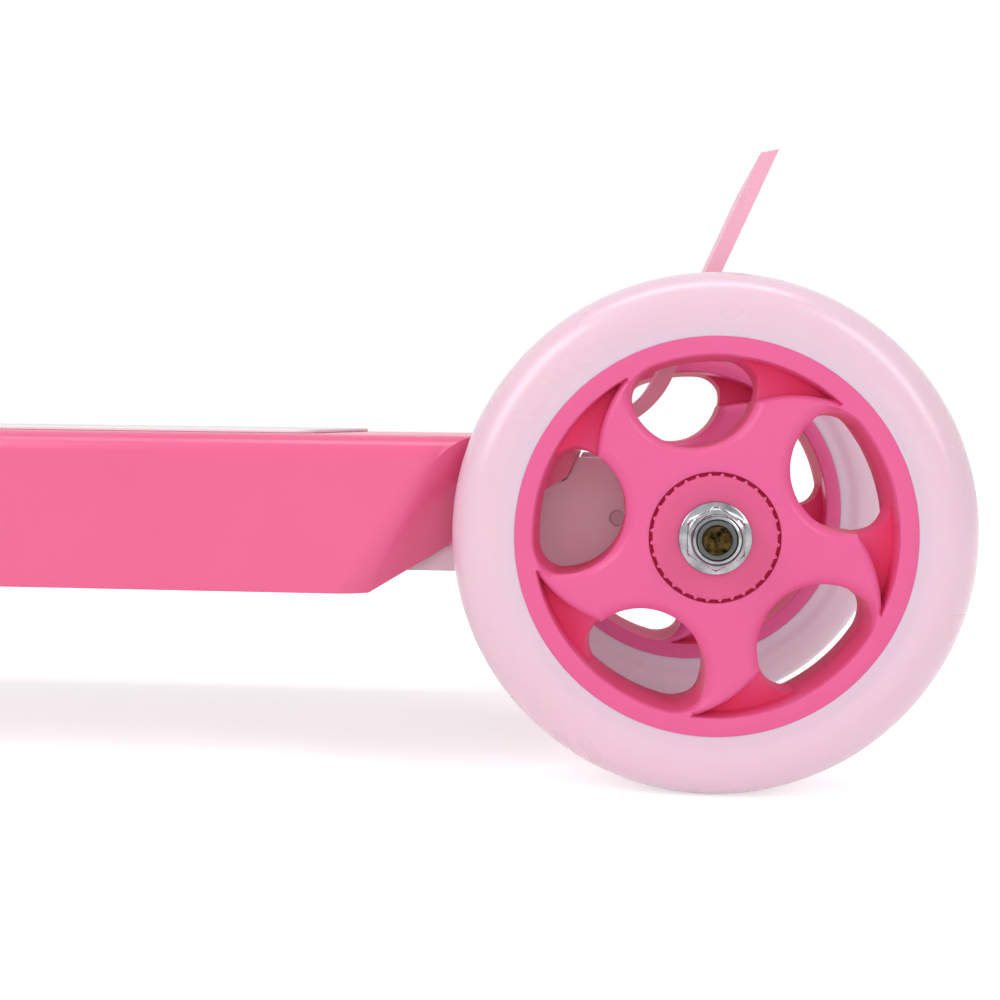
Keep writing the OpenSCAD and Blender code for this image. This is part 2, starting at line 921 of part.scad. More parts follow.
// The straight foot plate, its bend, two arms down to the hinge and the shoe carrier
module brake_pedal() {
    bend_c = pedal_foot + pedal_bend_r * [-cos(pedal_lean), sin(pedal_lean)];
    color(pink)
        at_rear()
            difference() {
                union() {
                    side_slab(pedal_w) {
                        translate(pedal_foot)
                            rotate(-pedal_lean)
                                translate([-pedal_t / 2, 0])
                                    square([pedal_t, pedal_len]);
                        intersection() {
                            translate(bend_c)
                                difference() {
                                    circle(pedal_bend_r + pedal_t / 2);
                                    circle(pedal_bend_r - pedal_t / 2);
                                }
                            polygon([
                                bend_c,
                                bend_c + 60 * [cos(-pedal_lean), sin(-pedal_lean)],
                                bend_c + 60 * [cos(-50), sin(-50)],
                                bend_c + 60 * [cos(-76), sin(-76)]]);
                        }
                    }
                    for (side = [-1, 1])
                        translate([0, side * 20, 0])
                            side_slab(8)
                                polygon([
                                    [brake_x - 6, brake_z],
                                    [brake_x + 6, brake_z],
                                    bend_c + pedal_bend_r * [cos(-60), sin(-60)],
                                    bend_c + pedal_bend_r * [cos(-74), sin(-74)]]);
                    translate([brake_x, 0, brake_z])
                        rotate([90, 0, 0])
                            cylinder(r = brake_hub_r, h = tail_w - 2 * cheek_t - 2, center = true);
                    side_slab(2 * shoe_out_y - 2 * 4.2)
                        shoe_sector(shoe_in_r - 9, shoe_in_r - 0.01, shoe_a[0] - 2, shoe_a[1]);
                    side_slab(pedal_w - 8)
                        shoe_sector(shoe_in_r - 9, shoe_in_r - 4, 92, shoe_a[0]);
                }
                translate([brake_x, 0, brake_z])
                    rotate([90, 0, 0])
                        cylinder(r = brake_r + shaft_fit, h = 2 * tail_w, center = true);
            }
}

// A sector of a ring about the rear axle
module shoe_sector(r0, r1, a0, a1) {
    intersection() {
        difference() {
            circle(r1);
            circle(r0);
        }
        polygon([[0, 0], 2 * r1 * [cos(a0), sin(a0)], 2 * r1 * [cos(a1), sin(a1)]]);
    }
}

// Two rubber shoes that press on the inner shoulders of the tyres
module brake_shoes() {
    color("dimgray")
        at_rear()
            for (side = [-1, 1])
                translate([0, side * (shoe_out_y - 5), 0])
                    side_slab(10)
                        shoe_sector(shoe_in_r, shoe_in_r + shoe_t, shoe_a[0], shoe_a[1]);
}

// ---- steering ----

module pivot_bolt() {
    color(zinc)
        at_pivot()
            translate([0, 0, -seat_s])
                hex_bolt(pivot_d, seat_s + nut_s + 10, 17);
}

module pivot_nut() {
    color(zinc)
        at_pivot()
            translate([0, 0, nut_s + 0.05])
                difference() {
                    hexagon(pivot_nut_af, 8);
                    translate([0, 0, -1])
                        cylinder(r = pivot_bore_r, h = 10);
                }
}

// The cap over the pivot nut
module pivot_plug() {
    color(pink)
        at_pivot()
            translate([0, 0, socket_s - 3])
                difference() {
                    cylinder(r = pivot_nut_af / 2 / cos(30) + 0.2, h = 4.2);
                    translate([0, 0, -1])
                        cylinder(r = pivot_nut_af / 2 - 1.5, h = 3);
                }
}

module steering_bushes() {
    color("ivory")
        at_pivot()
            for (side = [0, 1])
                mirror([0, 0, side])
                    translate([0, 0, beam_half + fit])
                        tube(beam_boss_r - 3 - 2 * side, pivot_bore_r, bush_t - (side == 0 ? 0.02 : 1.3));
}

// The beam between the front wheels: boss, two tapered arms and their ends
module steering_beam() {
    end_y = front_y - stub_seat;
    pocket_y = end_y - 18;
    color(blush)
        difference() {
            union() {
                at_pivot()
                    translate([0, 0, -beam_half])
                        cylinder(r = beam_boss_r, h = 2 * beam_half);
                for (side = [0, 1])
                    mirror([0, side, 0])
                        at_front()
                            rotate([-90, 0, 0]) {
                                cylinder(r1 = beam_boss_r - 3, r2 = beam_end_r, h = pocket_y - 4);
                                cylinder(r = beam_end_r, h = end_y);
                            }
            }
            at_pivot()
                cylinder(r = pivot_bore_r, h = 4 * beam_half, center = true);
            for (side = [0, 1])
                mirror([0, side, 0])
                    at_front() {
                        translate([0, pocket_y, 0])
                            rotate([-90, 0, 0])
                                cylinder(r = axle_bore_r, h = 40);
                        translate([-9, pocket_y - 8, -30])
                            cube([18, 8 + fit, 39]);
                    }
        }
}

module at_front_axles() {
    for (side = [0, 1])
        mirror([0, side, 0])
            at_wheel(front_x, -front_y)
                children();
}

module front_axle_bolts() {
    color(zinc)
        at_front_axles()
            translate([0, 0, -stub_seat - 18])
                hex_bolt(axle_d, stub_seat + 18 + axle_reach, nut_af);
}

module front_axle_nuts() {
    color(zinc)
        at_front_axles()
            translate([0, 0, nut_seat])
                flange_nut();
}

module front_nut_inserts() {
    color("dimgray")
        at_front_axles()
            translate([0, 0, nut_seat])
                nut_insert();
}

module front_inner_rings() {
    color("gainsboro")
        at_front_axles()
            inner_rings();
}

module front_spacers() {
    color(zinc)
        at_front_axles()
            spacers(stub_seat);
}

// ---- column ----

// The foot: a base plate and two ears with the arc slot for the folding rod
module column_foot() {
    color("silver")
        at_fold()
            difference() {
                union() {
                    translate([-23, -23, -pivot_h])
                        cube([46, 46, base_t]);
                    for (side = [-1, 1])
                        translate([0, side * (fold_w + ear_t) / 2, 0])
                            side_slab(ear_t) {
                                circle(ear_r);
                                translate([-ear_r, -pivot_h + 1])
                                    square([2 * ear_r, pivot_h - 1]);
                            }
                }
                rotate([90, 0, 0])
                    cylinder(r = fold_pin_d / 2 + shaft_fit, h = 100, center = true);
                side_slab(100)
                    arc_slot(rod_reach, rod_r + 0.2, -1, fold_max + 1);
                for (x = [-1, 1], y = [-1, 1])
                    translate([x * foot_bolt_x, y * foot_bolt_y, -pivot_h - 1])
                        cylinder(r = foot_bolt_d / 2 + 0.1, h = base_t + 2);
            }
}

// A slot along an arc, from angle a0 to a1 measured rearwards from upright
module arc_slot(r, half, a0, a1) {
    intersection() {
        difference() {
            circle(r + half);
            circle(r - half);
        }
        polygon(concat([[0, 0]], [for (i = [0:3]) 3 * r * [sin(a0 + (a1 - a0) * i / 3), cos(a0 + (a1 - a0) * i / 3)]]));
    }
    for (a = [a0, a1])
        rotate(-a)
            translate([0, r])
                circle(half - 0.1);
}

module foot_bolts() {
    color(zinc)
        at_front()
            foot_bolt_places()
                translate([0, 0, base_t - foot_bolt_len])
                    socket_screw(foot_bolt_d, foot_bolt_len, 9.4, 4);
}

module fold_pin() {
    out = fold_w / 2 + ear_t;
    color(zinc)
        at_fold()
            rotate([90, 0, 0]) {
                cylinder(r = fold_pin_d / 2, h = 2 * out + 2, center = true);
                for (side = [0, 1])
                    mirror([0, 0, side])
                        translate([0, 0, out + 0.1])
                            cylinder(r = fold_pin_d / 2 + 2.5, h = 2.5);
            }
}

// The folding block that holds the lower tube
module column_knuckle() {
    w = fold_w - 2 * fit;
    color(pink)
        at_fold()
            difference() {
                union() {
                    side_slab(w) {
                        circle(knuckle_r);
                        translate([-knuckle_r, 0])
                            square([2 * knuckle_r, socket_d0 + 4]);
                    }
                    translate([0, 0, socket_d0])
                        cylinder(r = lower_r + 3.5, h = 40);
                }
                translate([0, 0, lower_d0 - 0.02])
                    cylinder(r = lower_r + 0.02, h = 60);
                rotate([90, 0, 0])
                    cylinder(r = fold_pin_d / 2 + shaft_fit, h = 100, center = true);
                translate([0, 0, rod_reach])
                    rotate([90, 0, 0])
                        cylinder(r = rod_r + shaft_fit, h = 100, center = true);
            }
}

module lower_column() {
    color("whitesmoke")
        at_fold()
            difference() {
                translate([0, 0, lower_d0])
                    tube(lower_r, lower_in_r, lower_len);
                translate([0, -1.5, clamp_d0])
                    cube([40, 3, 60]);
            }
}

// The plastic sleeve in the lower tube's mouth, with its rim
module column_bush() {
    color("gray")
        at_fold() {
            translate([0, 0, lower_d1 - 40])
                tube(lower_in_r - 0.05, upper_r + fit, 41);
            translate([0, 0, lower_d1])
                tube(lower_r, upper_r + fit, 2);
        }
}

// A rod along Y with a hexagon nut on the right and the lever's fork on the left
module quick_rod(half) {
    rotate([90, 0, 0])
        translate([0, 0, -half - 7])
            cylinder(r = rod_r, h = 2 * half + 7 + cam_r + 4);
    translate([0, half + 0.1, 0])
        rotate([-90, 0, 0])
            difference() {
                hexagon(11, 5.5);
                translate([0, 0, -1])
                    cylinder(r = rod_r - eps, h = 8);
            }
}

module fold_rod() {
    color(zinc)
        at_fold()
            translate([0, 0, rod_reach])
                quick_rod(fold_w / 2 + ear_t);
}

// A cam lever beside a rod's end: it lies along +Z, its arm set out by out, and swings to -Y
module cam_lever(out) {
    w = 14;
    t = 6;
    difference() {
        union() {
            rotate([0, 90, 0])
                cylinder(r = cam_r, h = w, center = true);
            translate([-w / 2, -out - t / 2, -cam_r * 0.6])
                cube([w, out + t / 2, cam_r * 1.5]);
            translate([-w / 2, -out - t / 2, 0])
                cube([w, t, lever_len]);
            translate([0, -out + t / 2, lever_len])
                rotate([90, 0, 0])
                    cylinder(r = w / 2, h = t);
        }
        translate([-rod_r - fit, -cam_r - 1, -cam_r - 1])
            cube([2 * rod_r + 2 * fit, 2 * cam_r + 2, 2 * cam_r + 2]);
    }
}

module fold_lever() {
    color("dimgray")
        at_fold()
            translate([0, -fold_w / 2 - ear_t - cam_r - fit, rod_reach])
                cam_lever(3);
}

// The split collar that grips the tubes
module height_clamp() {
    color(pink)
        at_fold()
            translate([0, 0, clamp_d0 - 4])
                difference() {
                    union() {
                        cylinder(r = lower_r + 4.5, h = clamp_h);
                        translate([0, -lug_y, 0])
                            cube([lug_x + 8, 2 * lug_y, clamp_h]);
                    }
                    translate([0, 0, -1])
                        cylinder(r = lower_r + 0.02, h = clamp_h + 2);
                    translate([0, -1.5, -1])
                        cube([lug_x + 20, 3, clamp_h + 2]);
                    translate([lug_x, 0, clamp_h / 2])
                        rotate([90, 0, 0])
                            cylinder(r = rod_r + shaft_fit, h = 60, center = true);
                }
}

module clamp_rod() {
    color(zinc)
        at_clamp()
            quick_rod(lug_y);
}

module at_clamp() {
    at_fold()
        translate([lug_x, 0, clamp_d0 - 4 + clamp_h / 2])
            children();
}

module clamp_lever() {
    color("dimgray")
        at_clamp()
            translate([0, -lug_y - cam_r - fit, 0])
                rotate([0, -90, 0])
                    cam_lever(lower_r + 4.5 + 1 + 3 - lug_y - cam_r);
}

module upper_column() {
    color("gainsboro")
        at_fold()
            translate([0, 0, upper_d0])
                tube(upper_r, upper_in_r, upper_len);
}

// The guide ring at the upper tube's lower end
module upper_bush() {
    color("gray")
        at_fold()
            translate([0, 0, upper_d0 - 3])
                difference() {
                    union() {
                        cylinder(r = lower_in_r - fit, h = 3);
                        cylinder(r = upper_in_r - 0.02, h = 16);
                    }
                    translate([0, 0, -1])
                        cylinder(r = upper_in_r - 2, h = 30);
                }
}

// The moulded tee that holds the handlebar across the upper tube
module handlebar_tee() {
    color(pink)
        at_fold()
            difference() {
                union() {
                    translate([0, 0, upper_d1 - tee_skirt])
                        cylinder(r = upper_r + 4, h = bar_level - upper_d1 + tee_skirt);
                    translate([0, 0, bar_level])
                        rotate([90, 0, 0])
                            cylinder(r = bar_r + tee_wall, h = tee_w, center = true);
                }
                translate([0, 0, upper_d1 - tee_skirt - 2])
                    cylinder(r = upper_r + 0.02, h = 40);
                translate([0, 0, bar_level])
                    rotate([90, 0, 0])
                        cylinder(r = bar_r + 0.02, h = tee_w + 2, center = true);
                tee_screw_places()
                    translate([0, 0, -1])
                        cylinder(r = 2.02, h = 12);
            }
}

module tee_screw_places() {
    for (side = [-1, 1])
        translate([0, side * tee_w * 0.41, bar_level - bar_r - tee_wall])
            children();
}

module handlebar() {
    color("gainsboro")
        at_fold()
            translate([0, bar_len / 2, bar_level])
                rotate([90, 0, 0])
                    tube(bar_r, bar_r - tube_t, bar_len);
}

// A ribbed grip with an inner flange and a closed end
module grip() {
    ribs = 9;
    rotate([90, 0, 0])
        difference() {
            union() {
                cylinder(r = grip_d / 2 - 1.6, h = grip_len);
                for (i = [0:ribs - 1])
                    translate([0, 0, 8 + i * (grip_len - 20) / ribs])
                        cylinder(r = grip_d / 2, h = (grip_len - 20) / ribs - 2);
                cylinder(r = grip_d / 2 + 4.5, h = 3);
                translate([0, 0, grip_len - 6])
                    cylinder(r = grip_d / 2 + 1.5, h = 6);
            }
            translate([0, 0, -1])
                cylinder(r = bar_r + 0.02, h = grip_len - 2);
        }
}

module at_grip() {
    at_fold()
        translate([0, -bar_len / 2 + grip_len - 3.05, bar_level])
            grip();
}

module left_grip() {
    color("hotpink")
        at_grip();
}

module right_grip() {
    color("hotpink")
        mirror([0, 1, 0])
            at_grip();
}

module tee_screws() {
    color(zinc)
        at_fold()
            tee_screw_places()
                mirror([0, 0, 1])
                    translate([0, 0, -tee_wall])
                        socket_screw(4, tee_wall, 7, 2);
}

module rear_left_tyre() {
    color("#eadce6")
        at_wheel(rear_x, -rear_y)
            tyre();
}

module rear_left_hub() {
    color(pink)
        at_wheel(rear_x, -rear_y)
            hub();
}

module rear_left_caps() {
    color(pink)
        at_wheel(rear_x, -rear_y)
            caps();
}

module rear_left_bearings() {
    color("silver")
        at_wheel(rear_x, -rear_y)
            bearings();
}

module rear_right_tyre() {
    color("#eadce6")
        at_wheel(rear_x, rear_y)
            tyre();
}

module rear_right_hub() {
    color(pink)
        at_wheel(rear_x, rear_y)
            hub();
}

module rear_right_caps() {
    color(pink)
        at_wheel(rear_x, rear_y)
            caps();
}

module rear_right_bearings() {
    color("silver")
        at_wheel(rear_x, rear_y)
            bearings();
}

module front_left_tyre() {
    color("#eadce6")
        at_wheel(front_x, -front_y)
            tyre();
}

module front_left_hub() {
    color(pink)
        at_wheel(front_x, -front_y)
            hub();
}

module front_left_caps() {
    color(pink)
        at_wheel(front_x, -front_y)
            caps();
}

module front_left_bearings() {
    color("silver")
        at_wheel(front_x, -front_y)
            bearings();
}

module front_right_tyre() {
    color("#eadce6")
        at_wheel(front_x, front_y)
            tyre();
}

module front_right_hub() {
    color(pink)
        at_wheel(front_x, front_y)
            hub();
}

module front_right_caps() {
    color(pink)
        at_wheel(front_x, front_y)
            caps();
}

module front_right_bearings() {
    color("silver")
        at_wheel(front_x, front_y)
            bearings();
}

rear_left_tyre();
rear_left_hub();
rear_left_caps();
rear_left_bearings();
rear_right_tyre();
rear_right_hub();
rear_right_caps();
rear_right_bearings();
front_left_tyre();
front_left_hub();
front_left_caps();
front_left_bearings();
front_right_tyre();
front_right_hub();
front_right_caps();
front_right_bearings();
rear_frame();
front_head();
deck_shell();
deck_mat();
deck_screws();
head_bolts();
rear_axle_bolt();
rear_axle_nut();
rear_nut_insert();
rear_inner_rings();
rear_spacers();
brake_pin();
brake_spring();
brake_pedal();
brake_shoes();
pivot_bolt();
pivot_nut();
pivot_plug();
steering_bushes();
steering_beam();
front_axle_bolts();
front_axle_nuts();
front_nut_inserts();
front_inner_rings();
front_spacers();
column_foot();
foot_bolts();
fold_pin();
column_knuckle();
lower_column();
column_bush();
fold_rod();
fold_lever();
height_clamp();
clamp_rod();
clamp_lever();
upper_column();
upper_bush();
handlebar_tee();
handlebar();
left_grip();
right_grip();
tee_screws();
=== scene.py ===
import json
import math

import bmesh
import bpy
import numpy as np
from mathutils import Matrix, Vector
from mathutils.geometry import delaunay_2d_cdt


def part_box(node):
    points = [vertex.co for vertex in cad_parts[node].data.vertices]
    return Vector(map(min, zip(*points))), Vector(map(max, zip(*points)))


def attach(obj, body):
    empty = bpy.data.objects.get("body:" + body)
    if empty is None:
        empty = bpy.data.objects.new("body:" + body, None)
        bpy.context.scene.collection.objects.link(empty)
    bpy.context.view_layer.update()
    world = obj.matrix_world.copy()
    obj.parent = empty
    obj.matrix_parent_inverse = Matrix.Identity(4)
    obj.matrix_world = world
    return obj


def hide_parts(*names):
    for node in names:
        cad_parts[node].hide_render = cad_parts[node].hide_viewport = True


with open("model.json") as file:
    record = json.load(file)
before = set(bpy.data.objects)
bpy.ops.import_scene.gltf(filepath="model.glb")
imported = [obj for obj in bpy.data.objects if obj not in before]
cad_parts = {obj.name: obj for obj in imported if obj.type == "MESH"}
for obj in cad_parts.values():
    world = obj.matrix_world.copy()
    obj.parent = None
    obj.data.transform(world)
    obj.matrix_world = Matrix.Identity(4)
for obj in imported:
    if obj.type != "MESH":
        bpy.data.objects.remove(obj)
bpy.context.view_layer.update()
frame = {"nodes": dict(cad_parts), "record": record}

nodes = frame["nodes"]
scene = bpy.context.scene
mm = 0.001

bodyOf = {n: b for b, members in frame["record"]["behaviour"]["bodies"].items() for n in members}
slotOf = {s["node"]: s["material_slot"] for s in frame["record"]["subparts"]}


def tint(red, green, blue):
    # display values 0..255 to the linear values that a shader takes
    c = np.array([red, green, blue]) / 255
    return tuple(np.where(c <= 0.04045, c / 12.92, ((c + 0.055) / 1.055) ** 2.4)) + (1.0,)


def gridFaces(rows, cols, closed=True, looped=False):
    # quads of a grid, its last column joined to the first when closed, its last row to the first when looped
    i = np.arange(rows if looped else rows - 1)[:, None]
    j = np.arange(cols if closed else cols - 1)[None, :]
    k, m = (j + 1) % cols, (i + 1) % rows
    quads = np.stack(np.broadcast_arrays(i * cols + j, i * cols + k, m * cols + k, m * cols + j), -1)
    return quads.reshape(-1, 4)


def meshOf(name, parts, mergeAt=2e-6, sharpAngle=40):
    # one closed mesh of several surfaces: shared rows are merged, and creases over sharpAngle stay crisp
    points, corners, sizes, first = [], [], [], 0
    for p, f in parts:
        p, f = np.asarray(p).reshape(-1, 3), np.asarray(f)
        points.append(p)
        corners.append((f + first).ravel())
        sizes.append(np.full(len(f), f.shape[1]))
        first += len(p)
    points, corners, sizes = np.concatenate(points), np.concatenate(corners), np.concatenate(sizes)
    mesh = bpy.data.meshes.new(name)
    mesh.vertices.add(len(points))
    mesh.vertices.foreach_set("co", points.astype(np.float32).ravel())
    mesh.loops.add(len(corners))
    mesh.loops.foreach_set("vertex_index", corners.astype(np.int32))
    mesh.polygons.add(len(sizes))
    mesh.polygons.foreach_set("loop_start", np.concatenate([[0], np.cumsum(sizes)[:-1]]).astype(np.int32))
    mesh.update(calc_edges=True)
    tidyMesh(mesh, mergeAt, sharpAngle)
    return mesh


def tidyMesh(mesh, mergeAt, sharpAngle, flatten=None):
    # merges doubles, makes flat faces whole where asked, and turns every face outwards
    if "custom_normal" in mesh.attributes:
        mesh.attributes.remove(mesh.attributes["custom_normal"])
    bm = bmesh.new()
    bm.from_mesh(mesh)
    bmesh.ops.remove_doubles(bm, verts=bm.verts, dist=mergeAt)
    if flatten is not None:
        bmesh.ops.dissolve_limit(bm, angle_limit=math.radians(flatten), verts=bm.verts, edges=bm.edges)
    bmesh.ops.recalc_face_normals(bm, faces=bm.faces)
    bm.to_mesh(mesh)
    bm.free()
    mesh.shade_smooth()
    mesh.set_sharp_from_angle(angle=math.radians(sharpAngle))


def place(name, mesh, node, finish=None):
    # puts a finished mesh in the scene in the stead of one node, on its body and in its slot
    piece = bpy.data.objects.new(name, mesh)
    scene.collection.objects.link(piece)
    mesh.materials.clear()
    mesh.materials.append(finish or finishes[slotOf[node]])
    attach(piece, bodyOf[node])
    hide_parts(node)
    return piece


def pointsOf(mesh):
    points = np.zeros(len(mesh.vertices) * 3)
    mesh.vertices.foreach_get("co", points)
    return points.reshape(-1, 3)


def setPoints(mesh, points):
    mesh.vertices.foreach_set("co", points.astype(np.float32).ravel())
    mesh.update()


def shader(name, colour, roughness=0.35, **sockets):
    # a new material with its Principled node, and every even value set on the node's own sockets
    material = bpy.data.materials.new(name)
    material.use_nodes = True
    tree = material.node_tree
    surface = tree.nodes["Principled BSDF"]
    surface.inputs["Base Color"].default_value = colour
    surface.inputs["Roughness"].default_value = roughness
    for socket, value in sockets.items():
        surface.inputs[socket.replace("_", " ")].default_value = value
    return material, tree, surface


def addNode(tree, kind, **values):
    # a shader node; each value goes to the property of that name, or else to the input of that name
    node = tree.nodes.new(kind)
    for key, value in values.items():
        if key in node.bl_rna.properties.keys():
            setattr(node, key, value)
        else:
            node.inputs[key.replace("_", " ")].default_value = value
    return node


def grainOf(tree, scale, detail=4.0, stretch=(1, 1, 1)):
    # noise in the object's own metres, stretched along an axis for drawn or brushed metal
    coords = addNode(tree, "ShaderNodeTexCoord")
    mapping = addNode(tree, "ShaderNodeMapping", Scale=stretch)
    noise = addNode(tree, "ShaderNodeTexNoise", Scale=scale, Detail=detail, Roughness=0.55)
    tree.links.new(coords.outputs["Object"], mapping.inputs["Vector"])
    tree.links.new(mapping.outputs["Vector"], noise.inputs["Vector"])
    return noise


def spread(tree, source, low, high, target):
    # carries a grey pattern onto a socket as values from low to high
    span = addNode(tree, "ShaderNodeMapRange", To_Min=low, To_Max=high)
    tree.links.new(source, span.inputs["Value"])
    tree.links.new(span.outputs["Result"], target)


def blendColours(tree, source, first, second, target):
    # a grey pattern picks between two colours; the first may also be another node's colour
    mix = addNode(tree, "ShaderNodeMix", data_type="RGBA")
    a, b = [socket for socket in mix.inputs if socket.type == "RGBA"]
    if isinstance(first, bpy.types.NodeSocket):
        tree.links.new(first, a)
    else:
        a.default_value = first
    b.default_value = second
    tree.links.new(source, mix.inputs["Factor"])
    tree.links.new([o for o in mix.outputs if o.type == "RGBA"][0], target)


def bumpFrom(tree, surface, source, strength, distance):
    # a grey pattern raises the surface by up to the distance, in metres
    bump = addNode(tree, "ShaderNodeBump", Strength=strength, Distance=distance)
    tree.links.new(source, bump.inputs["Height"])
    tree.links.new(bump.outputs["Normal"], surface.inputs["Normal"])


def moulded(name, colour, deeper, roughness, grain, height, **sockets):
    # moulded plastic: slow mottle in the pigment, fine grain from the tool, uneven sheen
    material, tree, surface = shader(name, colour, roughness, **sockets)
    slow = grainOf(tree, 28, 3)  # about 28 blotches to the metre
    blendColours(tree, slow.outputs["Fac"], colour, deeper, surface.inputs["Base Color"])
    spread(tree, slow.outputs["Fac"], roughness * 0.88, roughness * 1.12, surface.inputs["Roughness"])
    fine = grainOf(tree, grain, 2)
    bumpFrom(tree, surface, fine.outputs["Fac"], 0.25, height)
    return material


def paintedHollowShade(material, colour, dullest):
    # painted shade: down in pockets and openings, by the depth attribute, a moulded piece is painted a deeper
    # red that stands in for their shade, and turns duller
    tree = material.node_tree
    surface = tree.nodes["Principled BSDF"]
    base, roughness = surface.inputs["Base Color"], surface.inputs["Roughness"]
    depth = addNode(tree, "ShaderNodeAttribute", attribute_name="depth")
    blendColours(tree, depth.outputs["Fac"], base.links[0].from_socket, colour, base)
    spread(tree, depth.outputs["Fac"], roughness.default_value, dullest, roughness)
    return material


def metal(name, colour, deeper, roughness, stretch, grain=900, height=0.00002, sharpness=1.0):
    # bare metal: streaks or crystals in its colour, its sheen and its height
    material, tree, surface = shader(name, colour, roughness, Metallic=1.0)
    streaks = grainOf(tree, grain, 3, stretch)
    span = addNode(tree, "ShaderNodeMapRange", From_Min=0.5 - 0.5 / sharpness, From_Max=0.5 + 0.5 / sharpness)
    tree.links.new(streaks.outputs["Fac"], span.inputs["Value"])
    blendColours(tree, span.outputs["Result"], colour, deeper, surface.inputs["Base Color"])
    spread(tree, span.outputs["Result"], roughness * 0.7, roughness * 1.4, surface.inputs["Roughness"])
    bumpFrom(tree, surface, span.outputs["Result"], 0.2, height)
    return material


finishes = {
    # the hub's second colour, tint(237, 72, 120), is painted shade in its pockets, openings and cap seat
    "hub_pink": paintedHollowShade(moulded("hubPink", tint(238, 102, 157), tint(235, 96, 152), 0.28, 900, 0.00002,
                                 Specular_IOR_Level=0.3), tint(237, 72, 120), 0.8),
    "deck_pink": moulded("deckPink", tint(239, 101, 147), tint(236, 96, 142), 0.26, 700, 0.00003),
    "column_pink": moulded("columnPink", tint(240, 98, 146), tint(236, 92, 141), 0.38, 700, 0.00003),
    "blush_plastic": moulded("blushPlastic", tint(244, 220, 230), tint(240, 214, 225), 0.45, 700, 0.00003,
                             Subsurface_Weight=0.3, Subsurface_Scale=0.006),
    "tyre_clear_pink": moulded("clearPinkTyre", tint(240, 204, 216), tint(234, 202, 222), 0.28, 120, 0.00002,
                               Subsurface_Weight=0.4, Subsurface_Scale=0.006,
                               Coat_Weight=0.5, Coat_Roughness=0.22),
    "mat_grey": moulded("matGrey", tint(248, 248, 250), tint(242, 243, 245), 0.8, 2200, 0.0002),
    "zinc_steel": metal("zincSteel", tint(192, 193, 196), tint(104, 106, 110), 0.15, (1, 1, 1), 160,
                        sharpness=2.0),
    "zinc_yellow": metal("zincYellow", tint(88, 70, 38), tint(10, 8, 7), 0.45, (1, 1, 1), 800, 0.00015, 3.0),
    "steel_dark": moulded("steelDark", tint(232, 204, 215), tint(222, 194, 205), 0.5, 900, 0.00003),
    "bearing_steel": metal("bearingSteel", tint(205, 206, 208), tint(190, 190, 192), 0.18, (1, 1, 1)),
    "nylon_grey": moulded("nylonGrey", tint(108, 113, 111), tint(96, 101, 99), 0.55, 900, 0.00003),
    "bush_clear": moulded("bushClear", tint(235, 225, 195), tint(228, 216, 184), 0.3, 300, 0.00003,
                          Subsurface_Weight=0.6, Subsurface_Scale=0.006),
    "shoe_rubber": moulded("shoeRubber", tint(48, 48, 50), tint(38, 38, 40), 0.7, 1500, 0.0001),
    "foot_alloy": metal("footAlloy", tint(200, 202, 204), tint(184, 186, 188), 0.45, (1, 1, 1), 1800,
                        0.00006),
    "column_white": moulded("columnWhite", tint(238, 234, 236), tint(232, 228, 230), 0.3, 260, 0.00003,
                            Coat_Weight=0.5, Coat_Roughness=0.12),
    "tube_alloy": metal("tubeAlloy", tint(214, 215, 217), tint(196, 197, 200), 0.28, (6, 6, 0.4)),
    "lever_dark": moulded("leverDark", tint(58, 58, 60), tint(48, 48, 50), 0.5, 900, 0.00006),
    # the pedal is paler than the deck's pink: partly its own lighter plastic, partly painted light from the
    # front light and glow on its rounded edge
    "pedalPink": moulded("pedalPink", tint(248, 182, 204), tint(245, 175, 198), 0.36, 700, 0.000004),
    "capPink": moulded("capPink", tint(231, 95, 144), tint(227, 89, 139), 0.3, 900, 0.00002,
                       Specular_IOR_Level=0.3),
    "grip_pink": moulded("gripPink", tint(240, 120, 160), tint(232, 108, 150), 0.65, 1300, 0.00015),
}
for name, node in nodes.items():
    node.data.materials.clear()
    node.data.materials.append(finishes[slotOf[name]])
print("finishes:", len(finishes))


